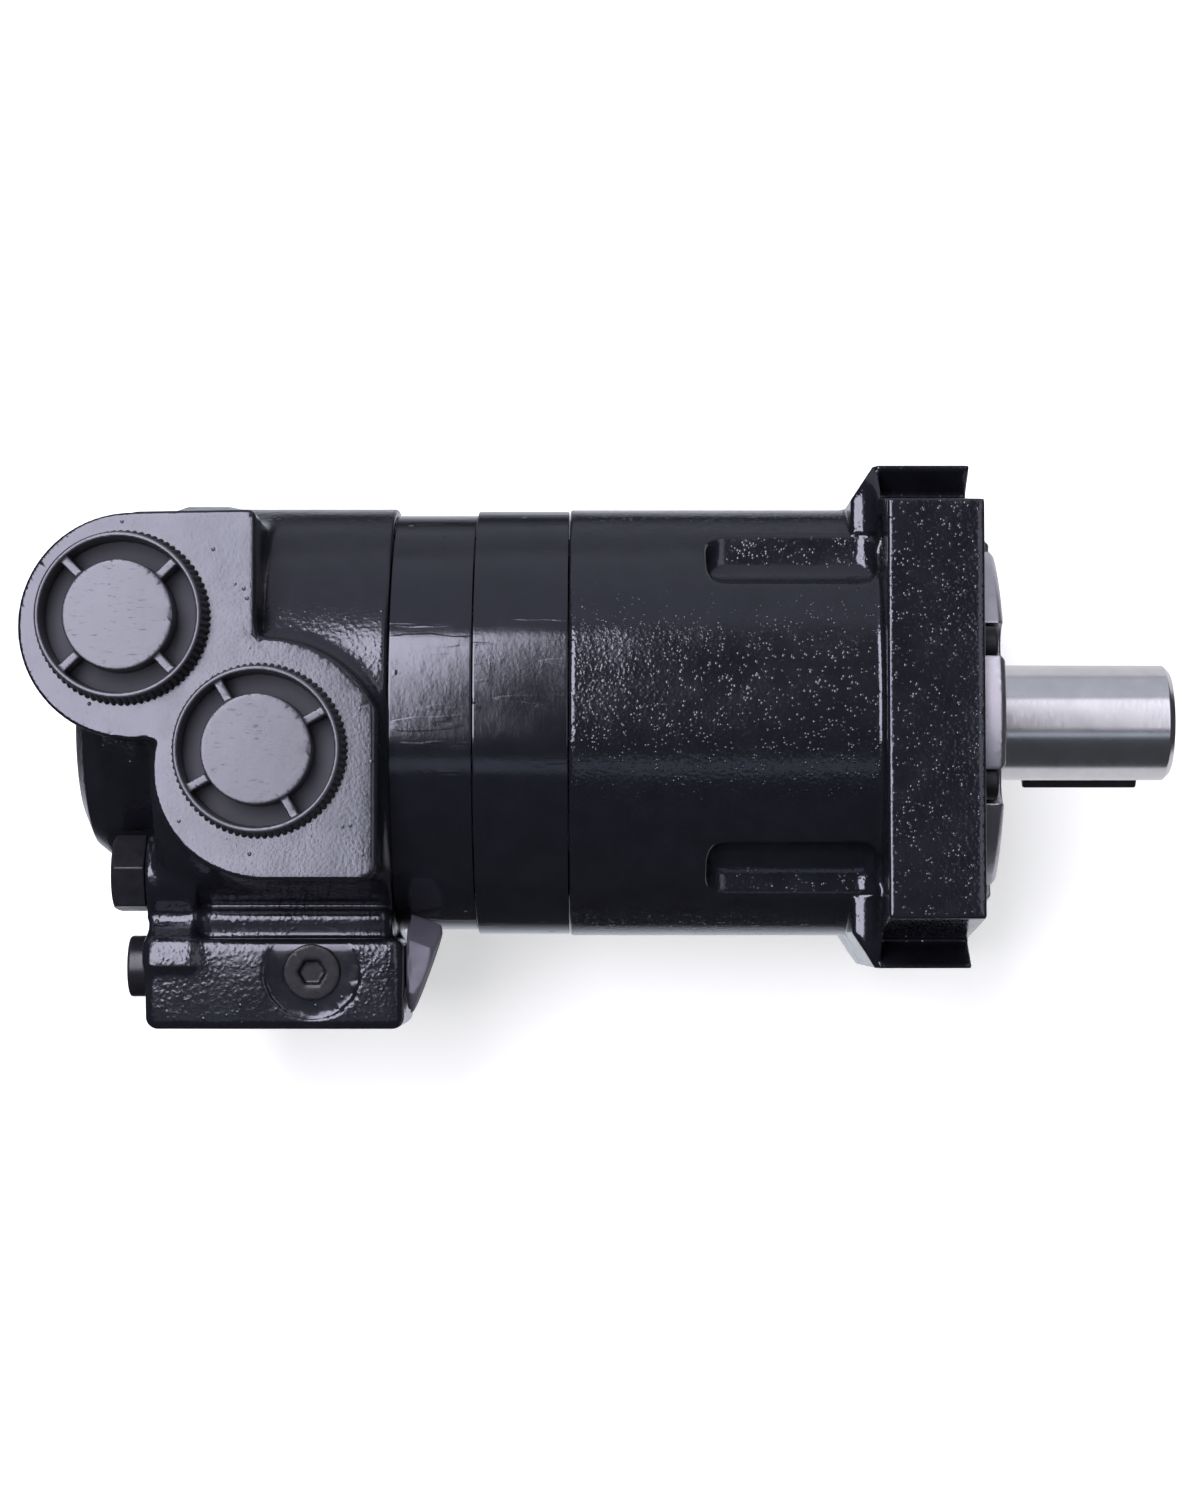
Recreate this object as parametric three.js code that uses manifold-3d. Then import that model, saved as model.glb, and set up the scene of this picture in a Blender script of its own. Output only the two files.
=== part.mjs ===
// Orbital (geroler) hydraulic motor with a rotary disc valve.
// Millimetres. +X runs out along the output shaft, +Z is the side of the two hose ports.
// The origin is the centre of the shaft's end face. Stations along the motor are measured from
// the mounting face of the flange: at(0) is that face, at(-100) lies 100 mm behind it.

import * as THREE from "three";
import { mergeVertices } from "three/addons/utils/BufferGeometryUtils.js";
import Module from "manifold-3d";

const wasm = await Module();
wasm.setup();

// ---------------------------------------------------------------- driving dimensions

const gap = 0.3; // running gap between neighbouring pieces
const large = 36; // sides of the large rounds
const medium = 20; // sides of the bearing-sized rounds
const small = 12; // sides of bolts, plugs and screws
const over = 1; // how far a cutter runs past the face that it opens

// shaft
const shaftLength = 58; // from the mounting face to the end of the shaft
const shaftRadius = 31.75 / 2;
const endChamfer = 1.6;
const keyWidth = 7.94;
const keyLength = 31.75;
const keyStart = 19.2;
const keyAngle = THREE.MathUtils.degToRad(220); // from +Y towards +Z
const sealLandRadius = 17.5;
const sealLandEnd = 6.8;
const frontSeatRadius = 20;
const hubRadius = 29;
const rearSeatRadius = 25;
const shaftRear = -96;

// mounting flange
const flangeThickness = 25;
const flangeHalf = 67; // centre to each of the four outer flats
const wideFlatHalf = 53.7; // half width of the flats towards +Z and -Z
const lugFlatHalf = 34.6; // half width of the flats towards +Y and -Y
const notchY = 59.4;
const notchZ = 23.4;
const boltCircle = 127;
const boltHoleRadius = 14.3 / 2;
const boltOffset = boltCircle / 2 / Math.SQRT2;
const pocketRadius = 11.3; // wrench room around each mounting bolt
const pocketRear = -70.7;
const pocketCorner = 6;
const gussetRear = -31.7;
const gussetHalf = 31;

// bearing housing
const housingRadius = 58.6;
const housingRear = -106.7;
const pilotRadius = 101.6 / 2;
const pilotHeight = 7.5;
const recessDepth = 5;

// tapered roller bearings
const frontBearing = { front: -13, rear: -33, bore: frontSeatRadius, outer: 40, count: 10 };
const rearBearing = { front: -76, rear: -95, bore: rearSeatRadius, outer: 36.8, count: 10 };

// seal retainer and its screws
const screwCount = 8;
const screwCircle = 47.5;
const screwHeadRadius = 4.9;
const screwHeadHeight = 4.8;
const counterboreFloor = 0.8;

// geroler: seven rollers in a ring around a six-lobed rotor
const rollerCount = 7;
const rollerCircle = 32.5;
const rollerRadius = 5.65;
const eccentricity = 2.6;
const ringBore = 32;
const ringRadius = 58.2;
const ringRear = -131.7;
const wearPlateRadius = 38.8;
const wearPlateThickness = 8;

// splined links
const splineTeeth = 8;
const largeSpline = { root: 12.2, tip: 14.2 };
const smallSpline = { root: 8.4, tip: 10.2 };
const splineClearance = 0.8;
const driveFrontHead = -79;
const driveRearHead = -115.5;
const valveFrontHead = -127.6;
const valveRearHead = -161;

// valve plate, disc valve and balance ring
const plateRadius = 57;
const plateBore = 15.6;
const plateRear = -153.5;
const discRadius = 31;
const discRear = -168;
const balanceRadius = 26;
const balanceRear = -176.5;
const cavityRadius = 34;
const guideRadius = 27;
const cavityRear = -186;

// valve housing (rear cover)
const coverRadius = 58.8;
const coverRear = -215;
const coverChamfer = 3;
const boltSeat = -218.5;
const domeRadius = 38.5;
const domeRear = -240;
const portFace = 66;
const portA = { u: -220.6, y: 23.1 };
const portB = { u: -185.4, y: -10.9 };
const portBoreRadius = 11.1;
const portBoreDepth = 17;
const padA = { u: -218.5, y: 21.2, radius: 29.1 };
const padB = { u: -184.5, y: -15.3, radius: 28.4 };
const padShoulder = { u: -184.5, y: -14.3, radius: 32 };
const padWaist = { u: -214.6, y: -7.9 };
const padTop = 50.8;
const padBottom = -43.7;
const padRight = -155.6;
const padCorner = 4;
const padStep = -186.9; // the step between the two lobes, and the height at which it starts
const padStepFoot = { from: 17.9, to: 22.2, corner: 2 };
const padSkirt = 14; // depth of the overhanging part of the port pad
const padRoot = 12; // height at which the port pad has run into the drum

// tie bolts
const tieCircle = [
  { y: 41.8, z: 27.5 },
  { y: 41.8, z: -27.5 },
  { y: -41.8, z: -27.5 },
  { y: -41.8, z: 27.5 },
];
const tieRadius = 6;
const tieFlats = 19;
const tieHeadHeight = 9;
const tieSpotRadius = 12.3;
const tieBossRadius = 11.4;
const tieBossRoot = 10; // how deep a bolt boss starts inside the drum
const tieFront = -90;

// shuttle block below the valve housing, and the web that joins it to the drum
const block = { front: -150.2, bottom: -83, top: -59, near: 40, far: -8, corner: 4 };
const web = { top: -45, near: 14 };
const rearRib = { front: -205.6, foot: 38, top: -50, topNear: 31, rootY: -42, rootNear: 14 };
const shuttle = { y: -66.6, z: 22, bore: 6, front: -176, rear: -194, plugRadius: 8.2 };
const slantedHead = { flats: 22.5, length: 4.5, chamfer: 1.6, collarRadius: 11.5, collar: 1.2, tilt: -20 };
const relief = { u: -174.3, y: -68, bore: 5.5, floor: 30, spotRadius: 12.6, spotDepth: 0.6 };
const drain = { y: 47.5, z: 0, bossRadius: 10.8, rear: -231, bore: 6, plugFlats: 17 };

// transport caps in the two ports
const cap = { base: 22.8, rim: 21.2, wall: 1.2, disc: 14.1, height: 9.7, recess: 8.5, stem: 10.6 };
const capStemLength = 11;

const at = (u) => u - shaftLength;

// ---------------------------------------------------------------- materials

const finish = (color, roughness, metalness) => ({ color, roughness, metalness });
const blackPaint = finish(0x17181b, 0.4, 0.2);
const machinedSteel = finish(0xc3c5c8, 0.28, 0.95);
const hardSteel = finish(0x9a9da3, 0.3, 0.95);
const sinteredBronze = finish(0xa8824a, 0.4, 0.9);
const blackOxide = finish(0x22232a, 0.45, 0.8);
const sealRubber = finish(0x141414, 0.8, 0.0);
const capPlastic = finish(0x2b2b33, 0.45, 0.0);
const springSteel = finish(0x6d7076, 0.35, 0.9);

// ---------------------------------------------------------------- solids from geometries

function signedVolume(positions, triangles) {
  const [a, b, c] = [new THREE.Vector3(), new THREE.Vector3(), new THREE.Vector3()];
  let volume = 0;
  for (let i = 0; i < triangles.length; i += 3) {
    a.fromArray(positions, 3 * triangles[i]);
    b.fromArray(positions, 3 * triangles[i + 1]);
    c.fromArray(positions, 3 * triangles[i + 2]);
    volume += a.dot(b.cross(c)) / 6;
  }
  return volume;
}

// A closed three.js geometry as a solid, with shared corners merged and its faces turned outwards.
function solid(geometry) {
  const bare = geometry.clone();
  bare.deleteAttribute("normal");
  bare.deleteAttribute("uv");
  const merged = mergeVertices(bare, 1e-4);
  const positions = merged.attributes.position.array;
  const index = Array.from(merged.index.array);
  const triangles = [];
  for (let i = 0; i < index.length; i += 3) {
    const [a, b, c] = index.slice(i, i + 3);
    if (a !== b && b !== c && c !== a) triangles.push(a, b, c);
  }
  if (signedVolume(positions, triangles) < 0) triangles.reverse();
  const mesh = new wasm.Mesh({
    numProp: 3,
    vertProperties: new Float32Array(positions),
    triVerts: new Uint32Array(triangles),
  });
  return new wasm.Manifold(mesh);
}

const join = (...solids) => solids.reduce((whole, next) => whole.add(next));
const cut = (body, ...tools) => tools.reduce((rest, tool) => rest.subtract(tool), body);

function geometryOf(body) {
  const { vertProperties, triVerts } = body.getMesh();
  const geometry = new THREE.BufferGeometry();
  geometry.setAttribute("position", new THREE.BufferAttribute(new Float32Array(vertProperties), 3));
  geometry.setIndex(new THREE.BufferAttribute(new Uint32Array(triVerts), 1));
  geometry.computeVertexNormals();
  return geometry;
}

// ---------------------------------------------------------------- basic shapes

// Turned about the motor's axis: points are [station, radius].
function turned(points, sides) {
  const profile = points.map(([u, radius]) => new THREE.Vector2(radius, at(u)));
  return solid(new THREE.LatheGeometry(profile, sides).rotateZ(-Math.PI / 2));
}

// A turned ring: the outline closes on itself.
const turnedRing = (points, sides) => turned([...points, points[0]], sides);

// A washer-like ring between two stations.
const collar = (front, rear, inner, outer, sides) =>
  turnedRing([[front, inner], [front, outer], [rear, outer], [rear, inner]], sides);

// Turned about an axis parallel to Z: points are [radius, height].
function turnedUpright(points, u, y, sides) {
  const profile = points.map(([radius, height]) => new THREE.Vector2(radius, height));
  const geometry = new THREE.LatheGeometry(profile, sides).rotateX(Math.PI / 2);
  return solid(geometry.translate(at(u), y, 0));
}

// A round or tapered rod between two points.
function rod(from, to, radius, sides, endRadius = radius) {
  const start = new THREE.Vector3(...from);
  const end = new THREE.Vector3(...to);
  const axis = end.clone().sub(start);
  const geometry = new THREE.CylinderGeometry(endRadius, radius, axis.length(), sides);
  const turn = new THREE.Quaternion();
  turn.setFromUnitVectors(new THREE.Vector3(0, 1, 0), axis.normalize());
  geometry.applyQuaternion(turn);
  const middle = start.add(end).multiplyScalar(0.5);
  return solid(geometry.translate(middle.x, middle.y, middle.z));
}

const rodX = (front, rear, y, z, radius, sides) =>
  rod([at(rear), y, z], [at(front), y, z], radius, sides);

const rodZ = (u, y, low, high, radius, sides) =>
  rod([at(u), y, low], [at(u), y, high], radius, sides);

function box(front, rear, y0, y1, z0, z1) {
  const geometry = new THREE.BoxGeometry(front - rear, y1 - y0, z1 - z0);
  return solid(geometry.translate(at((front + rear) / 2), (y0 + y1) / 2, (z0 + z1) / 2));
}

const flat = { bevelEnabled: false, steps: 1 };

// An outline in (y, z), run along X between two stations.
function alongX(outline, front, rear, curveSegments = 8) {
  const geometry = new THREE.ExtrudeGeometry(outline, { ...flat, depth: front - rear, curveSegments });
  const yAxis = new THREE.Vector3(0, 1, 0);
  const zAxis = new THREE.Vector3(0, 0, 1);
  const xAxis = new THREE.Vector3(1, 0, 0);
  geometry.applyMatrix4(new THREE.Matrix4().makeBasis(yAxis, zAxis, xAxis));
  return solid(geometry.translate(at(rear), 0, 0));
}

// An outline in (x, z), run along Y.
function alongY(outline, low, high, curveSegments = 8) {
  const geometry = new THREE.ExtrudeGeometry(outline, { ...flat, depth: high - low, curveSegments });
  return solid(geometry.rotateX(Math.PI / 2).translate(0, high, 0));
}

// An outline in (x, y), run along Z.
function alongZ(outline, low, high, curveSegments = 8) {
  const geometry = new THREE.ExtrudeGeometry(outline, { ...flat, depth: high - low, curveSegments });
  return solid(geometry.translate(0, 0, low));
}

const polygon = (points) => new THREE.Shape(points.map(([a, b]) => new THREE.Vector2(a, b)));

function roundedRectangle(a0, a1, b0, b1, radius) {
  const shape = new THREE.Shape();
  shape.moveTo(a0 + radius, b0);
  shape.lineTo(a1 - radius, b0);
  shape.absarc(a1 - radius, b0 + radius, radius, -Math.PI / 2, 0);
  shape.lineTo(a1, b1 - radius);
  shape.absarc(a1 - radius, b1 - radius, radius, 0, Math.PI / 2);
  shape.lineTo(a0 + radius, b1);
  shape.absarc(a0 + radius, b1 - radius, radius, Math.PI / 2, Math.PI);
  shape.lineTo(a0, b0 + radius);
  shape.absarc(a0 + radius, b0 + radius, radius, Math.PI, 1.5 * Math.PI);
  return shape;
}

function regularPolygon(sides, cornerRadius, firstAngle, centre = [0, 0]) {
  const points = [];
  for (let i = 0; i < sides; i += 1) {
    const angle = firstAngle + (i * 2 * Math.PI) / sides;
    const [a, b] = [cornerRadius * Math.cos(angle), cornerRadius * Math.sin(angle)];
    points.push([centre[0] + a, centre[1] + b]);
  }
  return polygon(points);
}

const hexagon = (flats, firstAngle, centre) =>
  regularPolygon(6, flats / Math.sqrt(3), firstAngle, centre);

// An O-ring: a ring of six-sided section around the motor's axis.
function oRing(u, radius, sectionRadius) {
  const points = [];
  for (let i = 0; i < 6; i += 1) {
    const angle = (i * Math.PI) / 3;
    points.push([u + sectionRadius * Math.cos(angle), radius + sectionRadius * Math.sin(angle)]);
  }
  return turnedRing(points, 28);
}

class Helix extends THREE.Curve {
  constructor(place, radius, length, turns) {
    super();
    Object.assign(this, { place, radius, length, turns });
  }

  getPoint(t) {
    const angle = 2 * Math.PI * this.turns * t;
    const across = this.radius * Math.cos(angle);
    const around = this.radius * Math.sin(angle);
    return this.place(this.length * t, across, around);
  }
}

// A coil spring: a four-sided wire along a helix.
function coilSpring(place, radius, length, turns, wireRadius) {
  const wire = regularPolygon(4, wireRadius, 0);
  const path = new Helix(place, radius, length, turns);
  const steps = Math.round(turns * 7);
  return solid(new THREE.ExtrudeGeometry(wire, { steps, extrudePath: path, bevelEnabled: false }));
}

// ---------------------------------------------------------------- flange and bearing housing

// The whole outline from its quarter between +Z and +Y, mirrored to all four quadrants.
function mirroredOutline(quarter) {
  const back = [...quarter].reverse();
  const points = [
    ...quarter,
    ...back.map(([y, z]) => [y, -z]),
    ...quarter.map(([y, z]) => [-y, -z]),
    ...back.map(([y, z]) => [-y, z]),
  ];
  return polygon(points);
}

function flangePlate() {
  const outline = mirroredOutline([
    [wideFlatHalf, flangeHalf],
    [notchY, notchZ],
    [flangeHalf, lugFlatHalf],
  ]);
  return alongX(outline, 0, -flangeThickness);
}

function gusset(side) {
  const inner = 48;
  const outline = polygon([
    [at(-flangeThickness + over), side * inner],
    [at(-flangeThickness + over), side * flangeHalf],
    [at(-flangeThickness), side * flangeHalf],
    [at(gussetRear), side * (housingRadius - over)],
    [at(gussetRear), side * inner],
  ]);
  return alongZ(outline, -gussetHalf, gussetHalf);
}

// Room for one mounting bolt and its wrench, open outwards and rounded at its inner corners.
function boltPocket(sideY, sideZ) {
  const inner = boltOffset - pocketRadius;
  const outer = flangeHalf + 10;
  const [rear, front] = [at(pocketRear), at(-flangeThickness)];
  const section = new THREE.Shape();
  section.moveTo(outer, inner);
  section.lineTo(outer, outer);
  section.lineTo(inner, outer);
  section.lineTo(inner, boltOffset);
  section.absarc(boltOffset, boltOffset, pocketRadius, Math.PI, 1.5 * Math.PI);
  const length = alongX(section, -flangeThickness, pocketRear);
  const plan = roundedRectangle(rear, front + pocketCorner, inner, outer, pocketCorner);
  const fromNear = alongZ(plan, inner - over, outer + over, 5);
  const fromTop = alongY(plan, inner - over, outer + over, 5);
  const pocket = length.intersect(fromNear).intersect(fromTop);
  return pocket.scale([1, sideY, sideZ]);
}

function housingBore() {
  return turned(
    [
      [over, 0],
      [over, pilotRadius + gap],
      [-recessDepth, pilotRadius + gap],
      [-recessDepth, frontBearing.outer],
      [frontBearing.rear - gap, frontBearing.outer],
      [frontBearing.rear - gap, 35],
      [rearBearing.front + gap, 32.6],
      [rearBearing.front + gap, rearBearing.outer],
      [housingRear + wearPlateThickness + gap, rearBearing.outer],
      [housingRear + wearPlateThickness + gap, wearPlateRadius + gap],
      [housingRear - over, wearPlateRadius + gap],
      [housingRear - over, 0],
    ],
    large,
  );
}

const faceSealRadius = 41.3;
const sealSection = 1.2;
const sealGrooveDepth = 2.6;

function sealGroove(face) {
  const halfWidth = sealSection + 0.2;
  const [inner, outer] = [faceSealRadius - halfWidth, faceSealRadius + halfWidth];
  return collar(face + sealGrooveDepth, face - over, inner, outer, 28);
}

function screwPlaces() {
  return Array.from({ length: screwCount }, (_, i) => {
    const angle = ((i + 0.5) * 2 * Math.PI) / screwCount;
    return { y: screwCircle * Math.cos(angle), z: screwCircle * Math.sin(angle) };
  });
}

function bearingHousing() {
  const rear = housingRear + gap / 2;
  const barrel = turned(
    [[-5, 0], [-5, housingRadius], [rear, housingRadius - 0.2], [rear, 0]],
    large,
  );
  let body = join(flangePlate(), barrel, gusset(1), gusset(-1));
  for (const sideY of [1, -1]) {
    for (const sideZ of [1, -1]) {
      const hole = rodX(over, -flangeThickness - over, sideY * boltOffset, sideZ * boltOffset,
        boltHoleRadius, small);
      body = cut(body, boltPocket(sideY, sideZ), hole);
    }
  }
  const threads = tieCircle.map(({ y, z }) =>
    rodX(tieFront + over, rear - over, y, z, tieRadius + gap, small));
  const screwHoles = screwPlaces().map(({ y, z }) => rodX(0, -15, y, z, 3.3, 8));
  return cut(body, housingBore(), sealGroove(rear), ...threads, ...screwHoles);
}

// ---------------------------------------------------------------- front seals and retainer

function sealRetainer() {
  const spigot = frontBearing.outer - gap;
  const rear = -recessDepth + gap;
  const body = turnedRing(
    [
      [pilotHeight, 23.6],
      [pilotHeight, pilotRadius - 1],
      [pilotHeight - 1, pilotRadius],
      [rear, pilotRadius],
      [rear, spigot],
      [frontBearing.front + gap, spigot],
      [frontBearing.front + gap, 25.6],
      [-1, 25.6],
      [-1, sealLandRadius + 0.7],
      [1.5, sealLandRadius + 0.7],
      [1.5, 23.6],
    ],
    large,
  );
  const scallops = screwPlaces().map(({ y, z }) =>
    rodX(pilotHeight + over, counterboreFloor - gap, y, z, screwHeadRadius + 0.5, small));
  const holes = screwPlaces().map(({ y, z }) => rodX(counterboreFloor, rear - over, y, z, 3.3, 8));
  return cut(body, ...scallops, ...holes);
}

function retainerScrew({ y, z }) {
  const head = rodX(counterboreFloor + screwHeadHeight, counterboreFloor, y, z, screwHeadRadius, small);
  const shank = rodX(counterboreFloor + 0.5, -14, y, z, 3, 8);
  const top = counterboreFloor + screwHeadHeight;
  const socket = alongX(hexagon(5, 0, [y, z]), top + over, top - 2.6);
  return cut(join(head, shank), socket);
}

function dustSeal() {
  const inner = sealLandRadius + gap;
  return turnedRing(
    [[2, inner + 1], [2, 23.3], [6.6, 23.3], [6.6, inner + 2.4], [7.2, inner], [5.6, inner]],
    medium,
  );
}

function shaftSeal() {
  const inner = sealLandRadius + gap;
  return turnedRing(
    [[-1.4, inner + 0.8], [-1.4, 25.3], [-11, 25.3], [-11, 22], [-5, 21], [-9, inner]],
    medium,
  );
}

// ---------------------------------------------------------------- shaft and bearings

// A spline as an outline in (y, z), with its teeth counted from +Y.
function splineOutline({ root, tip }, clearance) {
  const pitch = (2 * Math.PI) / splineTeeth;
  const toothShare = 0.4;
  const half = (toothShare * pitch) / 2 + clearance / ((root + tip) / 2);
  const points = [];
  for (let i = 0; i < splineTeeth; i += 1) {
    const centre = i * pitch;
    const corners = [
      [root + clearance, centre - half * 1.15],
      [tip + clearance, centre - half * 0.85],
      [tip + clearance, centre + half * 0.85],
      [root + clearance, centre + half * 1.15],
    ];
    for (const [radius, angle] of corners) {
      points.push([radius * Math.cos(angle), radius * Math.sin(angle)]);
    }
  }
  return polygon(points);
}

function outputShaft() {
  const bore = largeSpline.tip + splineClearance;
  const body = turned(
    [
      [shaftLength, 0],
      [shaftLength, shaftRadius - endChamfer],
      [shaftLength - endChamfer, shaftRadius],
      [sealLandEnd + 1, shaftRadius],
      [sealLandEnd, sealLandRadius],
      [frontBearing.front, sealLandRadius],
      [frontBearing.front, frontSeatRadius],
      [frontBearing.rear - gap, frontSeatRadius],
      [frontBearing.rear - gap, 24],
      [-44, 24],
      [-52, hubRadius],
      [rearBearing.front + gap, hubRadius],
      [rearBearing.front + gap, rearSeatRadius],
      [shaftRear, rearSeatRadius],
      [shaftRear, 0],
    ],
    medium,
  );
  const blindBore = turned(
    [[-60, 0], [-66, bore + 0.5], [-69, bore + 0.5], [-69, 0]],
    medium,
  );
  const mouth = turned(
    [[-90, 0], [-90, bore + 0.5], [shaftRear - over, bore + 1.5], [shaftRear - over, 0]],
    medium,
  );
  const spline = alongX(splineOutline(largeSpline, splineClearance), -68, shaftRear - over);
  return cut(body, keySolid(gap), blindBore, spline, mouth);
}

// The key along the shaft, or the slot that holds it when it is grown by a clearance.
function keySolid(clearance) {
  const half = keyWidth / 2;
  const outline = polygon([
    [shaftRadius - half - clearance, -half - clearance],
    [shaftRadius + half + clearance, -half - clearance],
    [shaftRadius + half + clearance, half + clearance],
    [shaftRadius - half - clearance, half + clearance],
  ]);
  const block = alongX(outline, keyStart + keyLength + clearance, keyStart - clearance);
  return block.rotate([THREE.MathUtils.radToDeg(keyAngle), 0, 0]);
}

function bearingCup({ front, rear, outer }) {
  const shoulder = front - 1;
  return turnedRing(
    [
      [shoulder, outer - 5.1],
      [shoulder, outer - gap],
      [rear, outer - gap],
      [rear, outer - 3.1],
    ],
    medium,
  );
}

// Inner race with its rollers, as one solid: the rollers dip slightly into the race.
function bearingCone({ front, rear, bore, outer, count }) {
  const race = turnedRing(
    [
      [front - gap, bore + gap],
      [front - gap, outer - 11.8],
      [rear + gap, outer - 8.9],
      [rear + gap, bore + gap],
    ],
    medium,
  );
  const rollers = Array.from({ length: count }, (_, i) => {
    const angle = (i * 2 * Math.PI) / count;
    const point = (u, radius) => [at(u), radius * Math.cos(angle), radius * Math.sin(angle)];
    return rod(point(front - 3, outer - 9.1), point(rear + 2.2, outer - 6.9), 2.8, 6, 3);
  });
  return join(race, ...rollers);
}

// ---------------------------------------------------------------- geroler

// Outline of the rotor: the path of a roller centre seen from the rotor, moved inwards by the
// roller's radius and the running gap.
function rotorOutline() {
  const steps = 72;
  const inset = rollerRadius + gap;
  const points = [];
  for (let i = 0; i < steps; i += 1) {
    const s = (i * 2 * Math.PI) / steps;
    const slowly = [Math.cos(s), Math.sin(s)];
    const quickly = [Math.cos(rollerCount * s), Math.sin(rollerCount * s)];
    const place = slowly.map((part, k) => rollerCircle * part - eccentricity * quickly[k]);
    const tangent = [
      -rollerCircle * slowly[1] + rollerCount * eccentricity * quickly[1],
      rollerCircle * slowly[0] - rollerCount * eccentricity * quickly[0],
    ];
    const speed = Math.hypot(...tangent);
    points.push([
      place[0] - (inset * tangent[1]) / speed,
      place[1] + (inset * tangent[0]) / speed,
    ]);
  }
  return polygon(points);
}

const rollerPlace = (i) => {
  const angle = (i * 2 * Math.PI) / rollerCount;
  return { y: rollerCircle * Math.cos(angle), z: rollerCircle * Math.sin(angle) };
};

function rotor() {
  const [front, rear] = [housingRear - gap / 2, ringRear + gap / 2];
  const body = alongX(rotorOutline(), front, rear);
  const spline = alongX(splineOutline(largeSpline, splineClearance), front + over, rear - over);
  return cut(body, spline).translate([0, eccentricity, 0]);
}

function roller(i) {
  const { y, z } = rollerPlace(i);
  return rodX(housingRear - gap / 2, ringRear + gap / 2, y, z, rollerRadius, 16);
}

function gerolerRing() {
  const [front, rear] = [housingRear - gap / 2, ringRear + gap / 2];
  const ring = collar(front, rear, ringBore, ringRadius, large);
  const pockets = [];
  for (let i = 0; i < rollerCount; i += 1) {
    const { y, z } = rollerPlace(i);
    pockets.push(rodX(front + over, rear - over, y, z, rollerRadius + gap, 16));
  }
  return cut(ring, ...pockets, ...tieHoles(front, rear), sealGroove(rear));
}

const tieHoles = (front, rear) =>
  tieCircle.map(({ y, z }) => rodX(front + over, rear - over, y, z, tieRadius + gap, small));

function wearPlate() {
  const rear = housingRear + gap / 2;
  return collar(rear + wearPlateThickness, rear, 17, wearPlateRadius, medium);
}

// ---------------------------------------------------------------- splined links

// A straight link with a splined head at each end, laid between two centres.
function splinedLink(frontHead, rearHead, frontHalf, rearHalf, frontY, rearY, rearSpline, shank) {
  const head = (u, half, { tip }) => [
    [u + half, tip - 0.4],
    [u - half, tip - 0.4],
  ];
  const envelope = turned(
    [
      [frontHead + frontHalf, 0],
      ...head(frontHead, frontHalf, largeSpline),
      [frontHead - frontHalf - 2, shank],
      [rearHead + rearHalf + 2, shank],
      ...head(rearHead, rearHalf, rearSpline),
      [rearHead - rearHalf, 0],
    ],
    medium,
  );
  const frontTeeth = alongX(splineOutline(largeSpline, 0), frontHead + frontHalf + over,
    frontHead - frontHalf - 3);
  const rearTeeth = alongX(splineOutline(rearSpline, 0), rearHead + rearHalf + 3,
    rearHead - rearHalf - over);
  const middle = rodX(frontHead - frontHalf, rearHead + rearHalf, 0, 0, shank, medium);
  const straight = envelope.intersect(join(frontTeeth, rearTeeth, middle));
  const tilt = THREE.MathUtils.radToDeg(Math.atan2(frontY - rearY, frontHead - rearHead));
  return straight
    .translate([-at(rearHead), 0, 0])
    .rotate([0, 0, tilt])
    .translate([at(rearHead), rearY, 0]);
}

const driveLink = () =>
  splinedLink(driveFrontHead, driveRearHead, 8, 6.4, 0, eccentricity, largeSpline, 10);

const valveLink = () =>
  splinedLink(valveFrontHead, valveRearHead, 2, 5, eccentricity, 0, smallSpline, 6.5);

const driveSpacer = () => rodX(-122.9, -124.3, eccentricity, 0, 9, small);

// ---------------------------------------------------------------- valve plate, disc, balance ring

function valvePlate() {
  const [front, rear] = [ringRear - gap / 2, plateRear + gap / 2];
  const plate = collar(front, rear, plateBore, plateRadius, large);
  const passages = [];
  for (let i = 0; i < rollerCount; i += 1) {
    const angle = ((i + 0.5) * 2 * Math.PI) / rollerCount;
    const point = (u, radius) => [at(u), radius * Math.cos(angle), radius * Math.sin(angle)];
    passages.push(rod(point(rear - over, 22.5), point(front + over, 27.5), 2.8, 8));
  }
  return cut(plate, ...passages, ...tieHoles(front, rear), sealGroove(rear));
}

function discValve() {
  const front = plateRear - gap;
  const body = turned([[front, 0], [front, discRadius], [discRear, discRadius], [discRear, 0]], medium);
  const spline = alongX(splineOutline(smallSpline, splineClearance), front + over, discRear - over);
  const tools = [];
  for (let i = 0; i < 6; i += 1) {
    const outerAngle = (i * Math.PI) / 3;
    const innerAngle = outerAngle + Math.PI / 6;
    tools.push(rodX(front + over, front - 9, discRadius * Math.cos(outerAngle),
      discRadius * Math.sin(outerAngle), 4.5, 10));
    tools.push(rodX(front + over, discRear - over, 20.5 * Math.cos(innerAngle),
      20.5 * Math.sin(innerAngle), 2.8, 8));
  }
  return cut(body, spline, ...tools);
}

function balanceRing() {
  const front = discRear - 0.5;
  return turnedRing(
    [
      [front, 15],
      [front, 24],
      [front - 2, 24],
      [front - 2, balanceRadius],
      [balanceRear, balanceRadius],
      [balanceRear, 13],
      [front - 3, 13],
      [front - 3, 15],
    ],
    medium,
  );
}

const balanceSpring = () =>
  coilSpring((along, a, b) => new THREE.Vector3(at(balanceRear - 1.7) - along, a, b), 18, 6.2, 2.5, 1.1);

// ---------------------------------------------------------------- valve housing

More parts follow.
